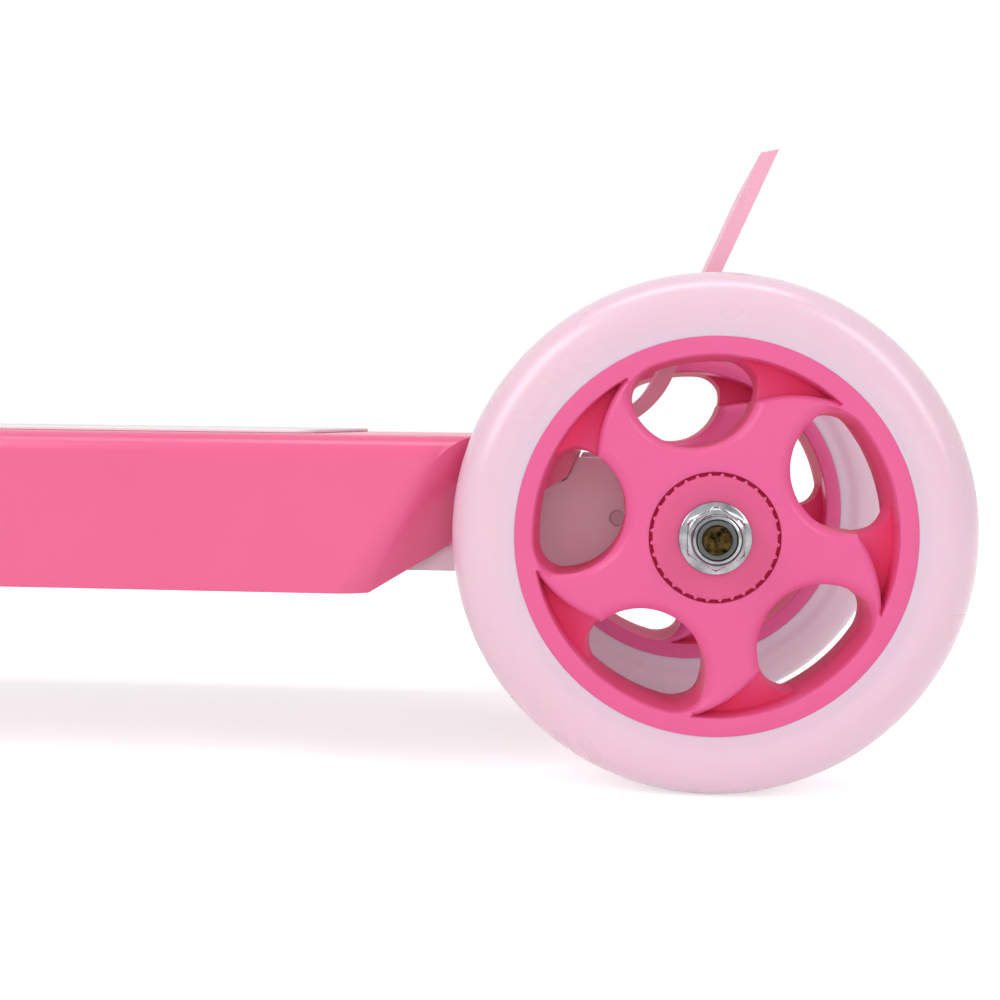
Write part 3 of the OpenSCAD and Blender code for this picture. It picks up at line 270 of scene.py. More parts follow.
hub = {  # millimetres from the wheel's middle, x to the rear, y up and z outward on the left face
    "sides": 5, "face": 13.0, "rimR": 46.9, "rimRound": 0.15, "ringR": 42.5, "ringRound": 0.5,
    # the cap's seat and the bore
    "capR": 15.35, "capRound": 0.3, "capSeat": 2.4, "boreR": 11.0,
    # one opening: a circle's middle and radius, the round of its corners, and how much its walls draw in
    "holeAt": (-5.6, 36.0), "holeR": 15.3, "cornerR": 5.0, "draft": 0.3, "ringDraft": 1.0, "draftFrom": 34.0,
    "draftOver": 7.0,
    # the lip round each opening: width and depth on the face, both on a pocket's floor, and its power
    "lip": 2.6, "lipDepth": 1.7, "floorLip": 0.5, "lipPower": 1.7, "fade": 3.0,
    # the circle whose inside is a pocket, its rounded edge, the pocket's depth and the slope of its walls
    "edgeAt": (18.5, 2.4), "edgeR": 31.0, "edgeRound": 2.4, "tip": 48.0, "pocket": 7.6, "steep": 14.0,
    # the spokes' faint hollow, and where along the radius it starts and ends
    "dish": 0.35, "dishFrom": 17.0, "dishRise": 8.0, "dishFall": 10.0,
    # lines for the triangles: shares of the lip, angles of the rounds, the first in from rim and cap's seat
    "lipLines": (0.12, 0.26, 0.44, 0.64, 0.82, 1.0), "roundLines": (22.5, 45, 67.5, 90),
    "rimLine": 0.05, "seatLine": 0.1,
    # degrees between which the pocket's edge and the ring's edge run, and the ring's gap to an opening
    "edgeArc": (64, 110), "ringArc": (45, 90), "ringGap": 0.02,
    # an opening's outline: where its rays start from the circle's middle, their count and their steps
    "rayFrom": (1.0, -3.5), "rayStart": 5.0, "rays": 1440, "raySteps": 90, "outlinePoints": 210,
    # the triangles' size, the clearance of scattered points from lines, and how far from edges they start
    "grain": 1.0, "clear": 0.42, "fromRim": 1.0, "fromCap": 0.8, "fromLip": 0.2,
    "scatterHalf": 48.0, "rowShare": 0.866,  # half the scatter's side, and a row's share of the grain
    # how the painted shade grows: over this depth, and from this share of it at the given radius to all of it
    "paintedShadeOver": 5.0, "paintedShadeShare": 0.3, "paintedShadeFrom": 32.0, "paintedShadeAlong": 9.0, "wallPaintedShade": 0.5,
    # how near a point is to the rim, the cap's seat or an opening to belong to it, and how far under the face
    "atRim": 0.2, "atCap": 0.05, "atWall": 0.05, "wallUnder": 0.6, "seatUnder": 0.8,
}


def ease(t):
    # nought to one with a level start and a level end
    t = np.clip(t, 0, 1)
    return t * t * (3 - 2 * t)


def between(first, second, share):
    return first + (second - first) * share


def roundOver(inside, radius):
    # depth of a quarter-round edge: radius at the very edge, nothing from radius inwards
    return radius - np.sqrt(np.maximum(radius ** 2 - np.clip(radius - inside, 0, radius) ** 2, 0))


def slopeOver(inside, width, depth):
    # depth of a soft lip: level at its width from the edge, it grows with the lip's power to the edge
    return depth * np.clip(1 - inside / np.maximum(width, 1e-6), 0, 1) ** hub["lipPower"]


def holeField(x, y):
    # distance outside one opening: a circle cut off by the wheel's circle, with both corners rounded
    a = np.hypot(x, y) - hub["ringR"] + hub["cornerR"]
    b = np.hypot(x - hub["holeAt"][0], y - hub["holeAt"][1]) - hub["holeR"] + hub["cornerR"]
    return np.hypot(np.maximum(a, 0), np.maximum(b, 0)) + np.minimum(np.maximum(a, b), 0) - hub["cornerR"]


def outward(x, y):
    # unit direction straight away from the opening, from the field's differences
    e = 1e-3
    nx = holeField(x + e, y) - holeField(x - e, y)
    ny = holeField(x, y + e) - holeField(x, y - e)
    n = np.hypot(nx, ny)
    return nx / n, ny / n


def intoFifth(x, y, start):
    # turns every point into the fifth that starts at the given angle
    r, a, fifth = np.hypot(x, y), np.degrees(np.arctan2(y, x)), 360 / hub["sides"]
    a = np.radians((a - start) % fifth + start)
    return r * np.cos(a), r * np.sin(a)


def byOpening(x, y):
    # into the fifth that has one opening in its middle
    return intoFifth(x, y, math.degrees(math.atan2(hub["holeAt"][1], hub["holeAt"][0])) - 180 / hub["sides"])


def faceHeight(x, y):
    # flat face less the lips round the openings, the pockets beside the spokes and the ends' small rounds
    r = np.hypot(x, y)
    fromHole = holeField(*byOpening(x, y))
    px, py = intoFifth(x, y, hub["tip"])
    fromEdge = hub["edgeR"] - np.hypot(px - hub["edgeAt"][0], py - hub["edgeAt"][1])
    byEdge = roundOver(fromEdge, hub["edgeRound"]) + hub["steep"] * np.maximum(-fromEdge, 0)
    byRing = roundOver(r - hub["ringR"], hub["ringRound"]) + hub["steep"] * np.maximum(hub["ringR"] - r, 0)
    pocket = np.minimum(np.minimum(byEdge, byRing), hub["pocket"])
    pocket = pocket * ease((px - hub["holeAt"][0]) / hub["fade"])
    deep = ease(pocket / hub["pocket"])
    inner = ease((hub["ringR"] - r) / hub["fade"])
    width = between(between(hub["ringRound"], hub["lip"], inner), hub["floorLip"], deep)
    depth = between(between(hub["ringRound"], hub["lipDepth"], inner), hub["floorLip"], deep)
    edge = slopeOver(fromHole, width, depth)
    ends = roundOver(hub["rimR"] - r, hub["rimRound"]) + roundOver(r - hub["capR"], hub["capRound"])
    dish = hub["dish"] * ease((r - hub["dishFrom"]) / hub["dishRise"])
    dish = dish * ease((hub["ringR"] - r) / hub["dishFall"])
    return hub["face"] - np.maximum(pocket, edge * (1 - deep)) - edge * deep - ends - dish * (1 - deep)


def turnedFive(points):
    # the same points in every fifth: a turn by 72 degrees each
    a = 2 * np.pi * np.arange(hub["sides"]) / hub["sides"]
    c, s = np.cos(a)[:, None], np.sin(a)[:, None]
    x, y = points[:, 0], points[:, 1]
    return np.stack([c * x - s * y, s * x + c * y], -1)


def arc(centre, radius, start, end, step=0.6):
    # points along a circle from one angle to another, about a step apart
    n = max(int(abs(radius * math.radians(end - start)) / step), 8)
    a = np.radians(np.linspace(start, end, n + 1))
    return np.stack([centre[0] + radius * np.cos(a), centre[1] + radius * np.sin(a)], -1)


def openingOutline():
    # walks rays from inside the opening out to where its field is nought, then evens the points along them
    a = np.linspace(0, 2 * np.pi, hub["rays"], endpoint=False)
    ex, ey = hub["holeAt"][0] + hub["rayFrom"][0], hub["holeAt"][1] + hub["rayFrom"][1]
    reach = np.full_like(a, hub["rayStart"])
    for step in range(hub["raySteps"]):
        reach -= holeField(ex + reach * np.cos(a), ey + reach * np.sin(a))
    ring = np.stack([ex + reach * np.cos(a), ey + reach * np.sin(a)], -1)
    ring = np.concatenate([ring, ring[:1]])
    along = np.concatenate([[0], np.cumsum(np.hypot(*np.diff(ring, axis=0).T))])
    t = np.linspace(0, along[-1], hub["outlinePoints"], endpoint=False)
    return np.stack([np.interp(t, along, ring[:, 0]), np.interp(t, along, ring[:, 1])], -1)


def faceLines():
    # every line that the face's triangles have to follow, and whether it closes on itself:
    # openings and their lips, the pockets' edges from the wall's foot up, then the rim and the cap's seat
    outline = openingOutline()
    nx, ny = outward(*outline.T)
    away = np.stack([nx, ny], -1)
    rounds = 1 - np.cos(np.radians(hub["roundLines"]))
    lines = [(p, True) for p in turnedFive(outline)]
    reach = between(hub["ringRound"], hub["lip"], ease((hub["ringR"] - np.hypot(*outline.T)) / hub["fade"]))
    for share in hub["lipLines"]:
        lines += [(p, True) for p in turnedFive(outline + away * (reach * share)[:, None])]
    foot = (hub["pocket"] - hub["edgeRound"]) / hub["steep"]
    for inside in np.concatenate([[-foot, 0], hub["edgeRound"] * rounds]):
        lines += [(p, False) for p in turnedFive(arc(hub["edgeAt"], hub["edgeR"] - inside, *hub["edgeArc"]))]
    foot = (hub["pocket"] - hub["ringRound"]) / hub["steep"]
    for out in np.concatenate([[-foot, 0], hub["ringRound"] * rounds]):
        line = arc((0, 0), hub["ringR"] + out, *hub["ringArc"])
        line = line[holeField(*line.T) > hub["ringGap"]]
        lines += [(p, False) for p in turnedFive(line)]
    rim = [hub["rimR"] - inside for inside in (0, hub["rimLine"], hub["rimRound"])]
    seat = [hub["capR"] + outside for outside in (0, hub["seatLine"], hub["capRound"])]
    return lines + [(arc((0, 0), r, 0, 360)[:-1], True) for r in rim + seat]


def insideAny(points, outlines):
    # a point is inside an outline when a level ray from it crosses the outline an odd number of times
    inside = np.zeros(len(points), bool)
    for outline in outlines:
        ax, ay = outline.T
        bx, by = np.roll(outline, -1, 0).T
        px, py = points[:, 0, None], points[:, 1, None]
        spans = (ay > py) != (by > py)
        with np.errstate(divide="ignore", invalid="ignore"):
            at = ax + (py - ay) * (bx - ax) / (by - ay)
        inside |= np.sum(spans & (px < at), 1) % 2 == 1
    return inside


def hubFace():
    # one face: triangles between those lines and an even scatter, lifted by the height field
    lines = faceLines()
    points, edges, first = [], [], 0
    for line, closed in lines:
        n = len(line)
        i = np.arange(n if closed else n - 1)
        edges.append(np.stack([i, (i + 1) % n], -1) + first)
        points.append(line)
        first += n
    points, edges = np.concatenate(points), np.concatenate(edges)
    g = np.arange(-hub["scatterHalf"], hub["scatterHalf"], hub["grain"])
    gx, gy = np.meshgrid(g, g * hub["rowShare"])
    gx = gx + (np.arange(len(g)) % 2)[:, None] * hub["grain"] / 2
    scatter = np.stack([gx.ravel(), gy.ravel()], -1)
    r = np.hypot(*scatter.T)
    onFace = (r < hub["rimR"] - hub["fromRim"]) & (r > hub["capR"] + hub["fromCap"])
    scatter = scatter[onFace & (holeField(*byOpening(*scatter.T)) > hub["lip"] + hub["fromLip"])]
    near = np.min([np.min(np.hypot(*(scatter[:, None] - some[None]).transpose(2, 0, 1)), 1)
                   for some in np.array_split(points, 12)], 0)
    scatter = scatter[near > hub["clear"]]
    every = np.concatenate([points, scatter]).tolist()
    flat, _, triangles, *_ = delaunay_2d_cdt(every, edges.tolist(), [], 0, 1e-4, False)
    flat, triangles = np.array(flat), np.array(triangles)
    middle = flat[triangles].mean(1)
    cut = [line for line, closed in lines[:hub["sides"]] + lines[-3:-2]]
    triangles = triangles[~insideAny(middle, cut)]
    used, triangles = np.unique(triangles, return_inverse=True)
    triangles = triangles.reshape(-1, 3)
    flat = flat[used]
    return np.column_stack([flat, faceHeight(*flat.T)]), triangles


def openEdges(triangles):
    # edges that only one triangle has, in that triangle's own direction
    e = np.concatenate([triangles[:, [0, 1]], triangles[:, [1, 2]], triangles[:, [2, 0]]])
    key = np.sort(e, 1)
    _, where, count = np.unique(key, axis=0, return_index=True, return_counts=True)
    return e[where[count == 1]]


def wallDown(points, edges, targets, rows):
    # quads from each open edge down to its target, in even steps
    used, local = np.unique(edges, return_inverse=True)
    local = local.reshape(-1, 2)
    t = np.linspace(0, 1, rows)[:, None, None]
    grid = points[used][None] * (1 - t) + targets[used][None] * t
    n = len(used)
    k = np.arange(rows - 1)[:, None]
    a, b = local[None, :, 0] + k * n, local[None, :, 1] + k * n
    return grid.reshape(-1, 3), np.stack([a, b, b + n, a + n], -1).reshape(-1, 4)


def hubParts():
    # both faces, and the walls from their open edges: openings and rim to the middle, cap seats to the floor
    points, triangles = hubFace()
    edges = openEdges(triangles)
    x, y = byOpening(*points[:, :2].T)
    nx, ny = outward(x, y)
    r = np.hypot(x, y)
    turn = np.arctan2(points[:, 1], points[:, 0]) - np.arctan2(y, x)
    wx, wy = nx * np.cos(turn) - ny * np.sin(turn), nx * np.sin(turn) + ny * np.cos(turn)
    draft = between(hub["draft"], hub["ringDraft"], ease((r - hub["draftFrom"]) / hub["draftOver"]))
    middle = np.column_stack([points[:, 0] - wx * draft, points[:, 1] - wy * draft, 0 * x])
    edgeR = r[edges].mean(1)
    onRim, onCap = edgeR > hub["rimR"] - hub["atRim"], edgeR < hub["capR"] + hub["atCap"]
    atRim, atCap, atHole = edges[onRim], edges[onCap], edges[~onRim & ~onCap]
    rim = np.column_stack([points[:, :2], 0 * x])
    seat = np.column_stack([points[:, :2], 0 * x + hub["face"] - hub["capSeat"]])
    bore = seat * np.array([hub["boreR"] / hub["capR"]] * 2 + [1])
    through = np.column_stack([bore[:, :2], 0 * x])
    parts = [(points, triangles)]
    walls = ((points, atRim, rim, 4), (points, atHole, middle, 7), (points, atCap, seat, 3),
             (seat, atCap, bore, 3), (bore, atCap, through, 4))
    for top, atEdge, foot, rows in walls:
        parts.append(wallDown(top, atEdge, foot, rows))
    return parts + [(p * (1, 1, -1), f) for p, f in parts]


def turned(rows, turns, form=None):
    # a profile of radius and height turned about the axis; form gives each row's radius all the way round
    a = np.linspace(0, 2 * np.pi, turns, endpoint=False)
    rows = np.asarray(rows, float)
    r = rows[:, :1] + 0 * a if form is None else form(rows, a)
    z = rows[:, 1:2] + 0 * a
    return np.stack([r * np.cos(a), r * np.sin(a), z], -1)


def roundCorner(centre, radius, start, end, steps):
    # points round a corner from one angle to another, a set count of them
    a = np.radians(np.linspace(start, end, steps))
    return np.stack([centre[0] + radius * np.cos(a), centre[1] + radius * np.sin(a)], -1)


def atAxle(points, centre, side=1):
    # the wheel's millimetres to the world: z points to the left, or to the right when side is -1
    p = np.asarray(points) * mm
    return np.stack([centre[0] + side * p[..., 0], centre[1] - side * p[..., 2], centre[2] + p[..., 1]], -1)


tyre = {  # millimetres from the wheel's middle; turns counts the points round the axle
    "boreR": 46.86, "treadR": 62.5, "face": 13.0, "shoulder": 10.0, "bead": 0.2, "hollow": 0.25, "turns": 240,
}


def tyreProfile():
    # up the bore, round the bead, across the side's faint hollow, round the shoulder, over the tread and back
    t = tyre
    w, s = t["face"], t["shoulder"]
    bead = roundCorner((t["boreR"] + t["bead"], w - t["bead"]), t["bead"], 180, 90, 6)
    r = np.linspace(bead[-1, 0], t["treadR"] - s, 9)[1:-1]
    across = (r - bead[-1, 0]) / (t["treadR"] - s - bead[-1, 0])
    side = np.stack([r, w - t["hollow"] * np.sin(np.pi * across) ** 2], -1)
    shoulder = roundCorner((t["treadR"] - s, w - s), s, 90, 0, 22)
    half = np.concatenate([[[t["boreR"], w * 0.5]], bead, side, shoulder])
    return np.concatenate([half, half[::-1] * (1, -1)])


cap = {  # millimetres from the wheel's middle; a tooth's root and tip are half widths
    "teeth": 32, "discR": 14.5, "toothR": 15.2, "root": 0.6, "tipHalf": 0.1, "face": 13.0, "thick": 2.4,
    "boreR": 6.7, "spigotR": 10.95, "foot": 10.5, "round": 0.3, "perTooth": 14,
}


def capForm(rows, a):
    # rows marked as outer are pushed out to a pointed tooth, once in each pitch
    pitch = 2 * np.pi * cap["discR"] / cap["teeth"]
    aside = np.abs((a * cap["teeth"] / (2 * np.pi)) % 1 - 0.5) * pitch
    tooth = np.clip((cap["root"] - aside) / (cap["root"] - cap["tipHalf"]), 0, 1)
    return rows[:, :1] + rows[:, 2:3] * tooth * (cap["toothR"] - cap["discR"])


def capRows():
    # radius, height and whether the teeth push the row out: up the bore, over the face, down the teeth
    c = cap
    f, r = c["face"], c["discR"]
    return [
        (c["boreR"], c["foot"], 0), (c["boreR"], f - c["round"], 0), (c["boreR"] + c["round"], f, 0),
        (r - 1.4, f, 0), (r - c["round"], f, 1), (r - 0.1, f - 0.09, 1), (r, f - c["round"], 1),
        (r, f - c["thick"], 1), (c["spigotR"], f - c["thick"], 0), (c["spigotR"], c["foot"], 0),
    ]


nut = {  # millimetres, heights outwards from the flange's foot
    "boreR": 4.06, "flangeR": 8.5, "across": 13.0, "height": 5.6, "collarR": 5.95, "innerR": 4.6, "top": 7.6,
    "turns": 144,
}
bolt = {  # millimetres, heights from under the head to the dished end; front is a front bolt's length
    "r": 4.0, "pitch": 1.25, "threadDepth": 0.55, "threaded": 15.0, "endR": 3.2, "endLong": 2.75, "head": 5.3,
    "across": 13.0, "front": 64.2, "turns": 96, "step": 0.125,  # step is a row's height in the thread
    "flank": 1.25, "crest": 0.12,  # the wave's gain, and how much of it is left whole at the crest
}
ring = {  # millimetres, heights outwards from the nut's foot
    "outR": 4.53, "inR": 4.02, "lipR": 3.45, "from": 5.6, "lip": 0.55, "to": 7.35, "edge": 0.1, "turns": 96,
}


def hexForm(across):
    # rows hold radius, height, share of hexagon and the round that trims it; 9 is too wide to trim
    def form(rows, a):
        hexagon = across / 2 / np.cos((a + np.pi / 6) % (np.pi / 3) - np.pi / 6)
        trimmed = np.minimum(hexagon[None], rows[:, 3:4])
        return rows[:, :1] * (1 - rows[:, 2:3]) + trimmed * rows[:, 2:3]
    return form


def nutRows():
    # the flange, the hexagon with its trimmed corners, and the collar with its two ridges
    n = nut
    f, h = n["flangeR"], n["height"]
    flange = [(n["boreR"], 0), (f - 0.35, 0), (f - 0.08, 0.1), (f, 0.35), (f, 0.95), (f - 0.1, 1.2),
              (f - 0.35, 1.35)]
    rows = [(r, z, 0, 9) for r, z in flange]
    rows += [(f - 0.7, 1.45, 0.1, 9), (f - 1.1, 1.65, 0.35, 9), (7.0, 1.95, 0.75, 9), (7.0, 2.3, 1, 9)]
    rows += [(7.0, h - 1.3, 1, 9), (7.0, h - 0.9, 1, 7.25), (7.0, h - 0.6, 1, 6.9), (6.6, h - 0.4, 0.5, 6.6)]
    c, i, t = n["collarR"], n["innerR"], n["top"]
    collar = [(6.2, h - 0.3), (c + 0.05, h - 0.2), (c, h), (c, t - 0.4), (c - 0.08, t - 0.15),
              (c - 0.2, t - 0.03), (c - 0.32, t - 0.12), (c - 0.42, t - 0.22), (c - 0.52, t - 0.12),
              (i + 0.26, t), (i + 0.12, t - 0.08), (i, t - 0.25), (i, h), (n["boreR"], h)]
    return rows + [(r, z, 0, 9) for r, z in collar]


def boltRows(length):
    # head's crown and hexagon, its washer face, plain shank, thread and the dished end
    b = bolt
    top = -b["head"]
    head = [(0.01, top - 0.05, 0, 9), (4.6, top - 0.05, 0, 9), (5.9, top, 0, 9), (6.4, top + 0.15, 0.6, 6.7),
            (6.8, top + 0.6, 1, 7.1), (7, top + 1.1, 1, 9), (7, -1.6, 1, 9), (7.2, -1.35, 0.5, 9),
            (8.0, -1.2, 0, 9), (8.3, -1.05, 0, 9), (8.3, -0.1, 0, 9), (8.2, 0, 0, 9), (b["r"], 0, 0, 9)]
    start = length - b["threaded"]
    thread = np.arange(start + 0.1, length - b["endLong"], b["step"])
    z = np.concatenate([np.linspace(0.5, start, 6), thread])
    shank = [(b["r"], v, 0, 9) for v in z]
    shank += [(b["endR"], v, 0, 9) for v in (length - b["endLong"] + 0.05, length - 0.2, length - 0.12)]
    end = [(b["endR"] - 0.15, length, 0, 9), (2.6, length, 0, 9), (2.2, length - 0.1, 0, 9),
           (1.0, length - 0.15, 0, 9), (0.01, length - 0.15, 0, 9)]
    return np.array(head + shank + end), start


def boltGrid(length):
    # the thread is a wave in height and turn together, cut into the shank and fading in over its first turn
    rows, start = boltRows(length)
    a = np.linspace(0, 2 * np.pi, bolt["turns"], endpoint=False)
    r = hexForm(bolt["across"])(rows, a)
    z = rows[:, 1:2] + 0 * a
    wave = np.abs(((z - start) / bolt["pitch"] - a / (2 * np.pi)) % 1 - 0.5) * 2
    cut = bolt["threadDepth"] * np.clip(wave * bolt["flank"] - bolt["crest"], 0, 1)
    cut = cut * np.clip((z - start) / bolt["pitch"], 0, 1)
    inThread = (rows[:, :1] == bolt["r"]) & (z > start)
    r = np.where(inThread, r - cut, r)
    return np.stack([r * np.cos(a), r * np.sin(a), z], -1)


def surface(grid, looped=False):
    # a grid's points and quads; a bolt closes on its ends' middles, every other profile is looped
    return grid, gridFaces(grid.shape[0], grid.shape[1], True, looped)


def paintedShadeShare(mesh, centre):
    # share of painted shade: 1 in the cap's seat, a set share on the openings' walls; in pockets it grows
    # with depth and radius
    p = (pointsOf(mesh) - np.array(centre)) / mm
    x, y, under = p[:, 0], p[:, 2], hub["face"] - np.abs(p[:, 1])
    r, outside = np.hypot(x, y), holeField(*byOpening(x, y))
    pocketShadeByRadius = between(hub["paintedShadeShare"], 1, ease((r - hub["paintedShadeFrom"]) / hub["paintedShadeAlong"]))
    pocketPaintedShade = ease((under - hub["lipDepth"]) / hub["paintedShadeOver"]) * pocketShadeByRadius
    onWall = (outside < hub["atWall"]) & (under > hub["lipDepth"] + hub["wallUnder"])
    inSeat = (r < hub["capR"] + hub["atCap"]) & (under > hub["seatUnder"])
    return np.where(inSeat, 1, np.where(onWall, hub["wallPaintedShade"], pocketPaintedShade))


hubSurface = hubParts()
tyreSurface = [surface(turned(tyreProfile(), tyre["turns"]), True)]
oneCap = turned(capRows(), cap["teeth"] * cap["perTooth"], capForm)
capSurfaces = [surface(oneCap, True), surface(oneCap * (1, 1, -1), True)]
middle = {}
for wheel in ("rear_left", "rear_right", "front_left", "front_right"):
    low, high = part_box(wheel + "_tyre")
    middle[wheel] = centre = (Vector(low) + Vector(high)) / 2
    for piece, surfaces, sharp in (("hub", hubSurface, 38), ("tyre", tyreSurface, 60),
                                   ("caps", capSurfaces, 38)):
        mesh = meshOf(wheel + piece, [(atAxle(p, centre), f) for p, f in surfaces], sharpAngle=sharp)
        if piece == "hub":
            # the depth attribute holds each point's share of painted shade, and of dullness
            depth = mesh.attributes.new("depth", "FLOAT", "POINT")
            depth.data.foreach_set("value", paintedShadeShare(mesh, centre).astype(np.float32))
        finish = finishes["capPink"] if piece == "caps" else None
        place(wheel + "_moulded_" + piece, mesh, wheel + "_" + piece, finish)
print("wheels:", len(middle), "with", len(hubSurface[0][1]), "triangles on each hub's face")

ringRows = [  # up the bore, in to the lip, over the top and down the outside
    (ring["inR"], ring["from"]), (ring["inR"], ring["to"] - ring["lip"]),
    (ring["lipR"], ring["to"] - ring["lip"]), (ring["lipR"], ring["to"] - ring["edge"]),
    (ring["lipR"] + ring["edge"], ring["to"]), (ring["outR"] - ring["edge"], ring["to"]),
    (ring["outR"], ring["to"] - ring["edge"]), (ring["outR"], ring["from"]),
]
atRear, atFront = [("rear_left", 1)], [("front_left", 1), ("front_right", -1)]


def placeOnAxles(node, word, along, ends, piece, height, mergeAt, sharp):
    # the same points and faces on each axle end, set the given height in from the outer end of the node along
    low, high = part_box(along)
    points, faces = piece
    parts = []
    for wheel, side in ends:
        outer = low[1] if side == 1 else high[1]
        seat = (middle[wheel][0], outer + side * height * mm, middle[wheel][2])
        parts.append((atAxle(points, seat, side), faces))
    place(node + word, meshOf(node, parts, mergeAt, sharp), node)


nutPiece = surface(turned(nutRows(), nut["turns"], hexForm(nut["across"])), True)
placeOnAxles("rear_axle_nut", "_pressed", "rear_axle_nut", atRear, nutPiece, nut["top"], 1e-6, 35)
placeOnAxles("front_axle_nuts", "_pressed", "front_axle_nuts", atFront, nutPiece, nut["top"], 1e-6, 35)
low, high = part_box("rear_axle_bolt")
for node, ends, length in (("rear_axle_bolt", atRear, (high[1] - low[1]) / mm - bolt["head"]),
                           ("front_axle_bolts", atFront, bolt["front"])):
    placeOnAxles(node, "_threaded", node, ends, surface(boltGrid(length)), length, 2e-5, 30)
ringPiece = surface(turned(ringRows, ring["turns"]), True)
placeOnAxles("rear_nut_insert", "_turned", "rear_axle_nut", atRear, ringPiece, nut["top"], 1e-6, 35)
placeOnAxles("front_nut_inserts", "_turned", "front_axle_nuts", atFront, ringPiece, nut["top"], 1e-6, 35)
print("nuts, bolts and nylon rings placed")

softened = {  # width of the rounding on each node's edges, in millimetres
    "rear_frame": 1.0, "front_head": 1.2, "deck_mat": 0.3, "brake_shoes": 0.4, "steering_beam": 1.5,
    "column_foot": 0.8, "column_knuckle": 1.0, "height_clamp": 0.8, "clamp_lever": 0.8, "fold_lever": 0.8,
    "handlebar_tee": 1.0, "left_grip": 0.8, "right_grip": 0.8, "lower_column": 0.35, "upper_column": 0.35,
    "handlebar": 0.5, "pivot_plug": 0.6, "steering_bushes": 0.6, "deck_screws": 0.25, "head_bolts": 0.25,
    "foot_bolts": 0.25, "tee_screws": 0.2, "pivot_bolt": 0.3, "pivot_nut": 0.3, "fold_pin": 0.3,
    "fold_rod": 0.25, "clamp_rod": 0.25, "rear_spacers": 0.2, "front_spacers": 0.2, "brake_pin": 0.2,
    "rear_left_bearings": 0.12, "rear_right_bearings": 0.12, "front_left_bearings": 0.12,
    "front_right_bearings": 0.12, "rear_inner_rings": 0.15, "front_inner_rings": 0.15,
}
crease = 32  # degrees between two faces, above which their edge is rounded or stays crisp
flatTo = 0.6  # degrees between two faces, up to which they become one


def mergedCopy(node):
    # a copy of a CAD node's loose triangles, merged, with its flat faces made whole
    mesh = nodes[node].data.copy()
    tidyMesh(mesh, 2e-6, crease, flatTo)
    return mesh


def roundEdges(piece, width, segments=2):
    # a bevel on the creases, then normals that leave the large faces flat
    bevel = piece.modifiers.new("roundEdges", "BEVEL")
    bevel.width = width * mm
    bevel.segments = segments
    bevel.limit_method = "ANGLE"
    bevel.angle_limit = math.radians(crease)
    flat = piece.modifiers.new("flatFaces", "WEIGHTED_NORMAL")
    flat.keep_sharp = True


for node, width in softened.items():
    roundEdges(place(node + "_softened", mergedCopy(node), node), width)

deck = {  # millimetres from the rear axle; the wheel wells' faces cut the deck's sides along a crease
    "halfW": 58.0, "creaseAt": (-63.3, 22.8), "lean": 31.5, "turn": 36.0, "edges": 0.25,
    # the crease's round, the strips cut along it (from, to, step, in radii), the way in, and the slack
    "creaseR": 9.0, "strips": ((-0.52, 0.01, 0.055), (0.035, 0.32, 0.035)), "inward": (-0.398, -0.917),
    "slack": 0.05, "passes": 24, "counted": 0.02,  # a point moved by more than the last is counted
}


def creaseAcross():
    # the direction across the crease, level with the deck's side
    lean = math.radians(deck["lean"])
    return np.array([math.cos(lean), 0, -math.sin(lean)])


def creasePoint():
    return np.array([deck["creaseAt"][0], 0, deck["creaseAt"][1]])


def depths(points):
    # how deep each point lies under the deck's side and under the well's face
    turn = math.radians(deck["turn"])
    along = (points - creasePoint()) @ creaseAcross()
    underSide = deck["halfW"] - np.abs(points[:, 1])
    return underSide, underSide * math.sin(turn) - along * math.cos(turn)


def roundedDepth(points):
    # depth under both faces joined by a round: its middle lies one radius under each of them
    first, second = depths(points)
    r, c = deck["creaseR"], math.sin(math.radians(deck["turn"]))
    u, v = r - first, r - second
    inRound = (u > c * v) & (v > c * u) & (u > 0) & (v > 0)
    across = np.sqrt(np.maximum(u * u + v * v - 2 * c * u * v, 0) / (1 - c * c))
    return np.where(inRound, r - across, np.minimum(first, second))


def roundCreases(mesh, origin):
    # cuts strips along both creases, then moves each point level until its rounded depth is its old depth
    bm = bmesh.new()
    bm.from_mesh(mesh)
    for q in np.concatenate([np.arange(*strip) for strip in deck["strips"]]) * deck["creaseR"]:
        spot = origin + (creasePoint() + q * creaseAcross()) * mm
        bmesh.ops.bisect_plane(bm, geom=bm.verts[:] + bm.edges[:] + bm.faces[:], dist=1e-7, plane_co=spot,
                               plane_no=creaseAcross())
    bm.to_mesh(mesh)
    bm.free()
    p = (pointsOf(mesh) - origin) / mm
    wanted = np.minimum(*depths(p))
    side = np.sign(p[:, 1])
    inward = np.stack([deck["inward"][0] + 0 * side, deck["inward"][1] * side, 0 * side], -1)
    moving = (wanted > -deck["slack"]) & (np.abs(p[:, 1]) > deck["halfW"] - deck["creaseR"])
    for step in range(deck["passes"]):
        p += inward * (moving * (wanted - roundedDepth(p)))[:, None]
    setPoints(mesh, p * mm + origin)
    return int((moving & (np.abs(wanted - np.minimum(*depths(p))) > deck["counted"])).sum())


rearAxle = np.array([middle["rear_left"][0], 0, middle["rear_left"][2]])
mesh = mergedCopy("deck_shell")
moved = roundCreases(mesh, rearAxle)
mesh.set_sharp_from_angle(angle=math.radians(crease))
roundEdges(place("deck_shell_softened", mesh, "deck_shell"), deck["edges"])
print("deck creases: points moved", moved)

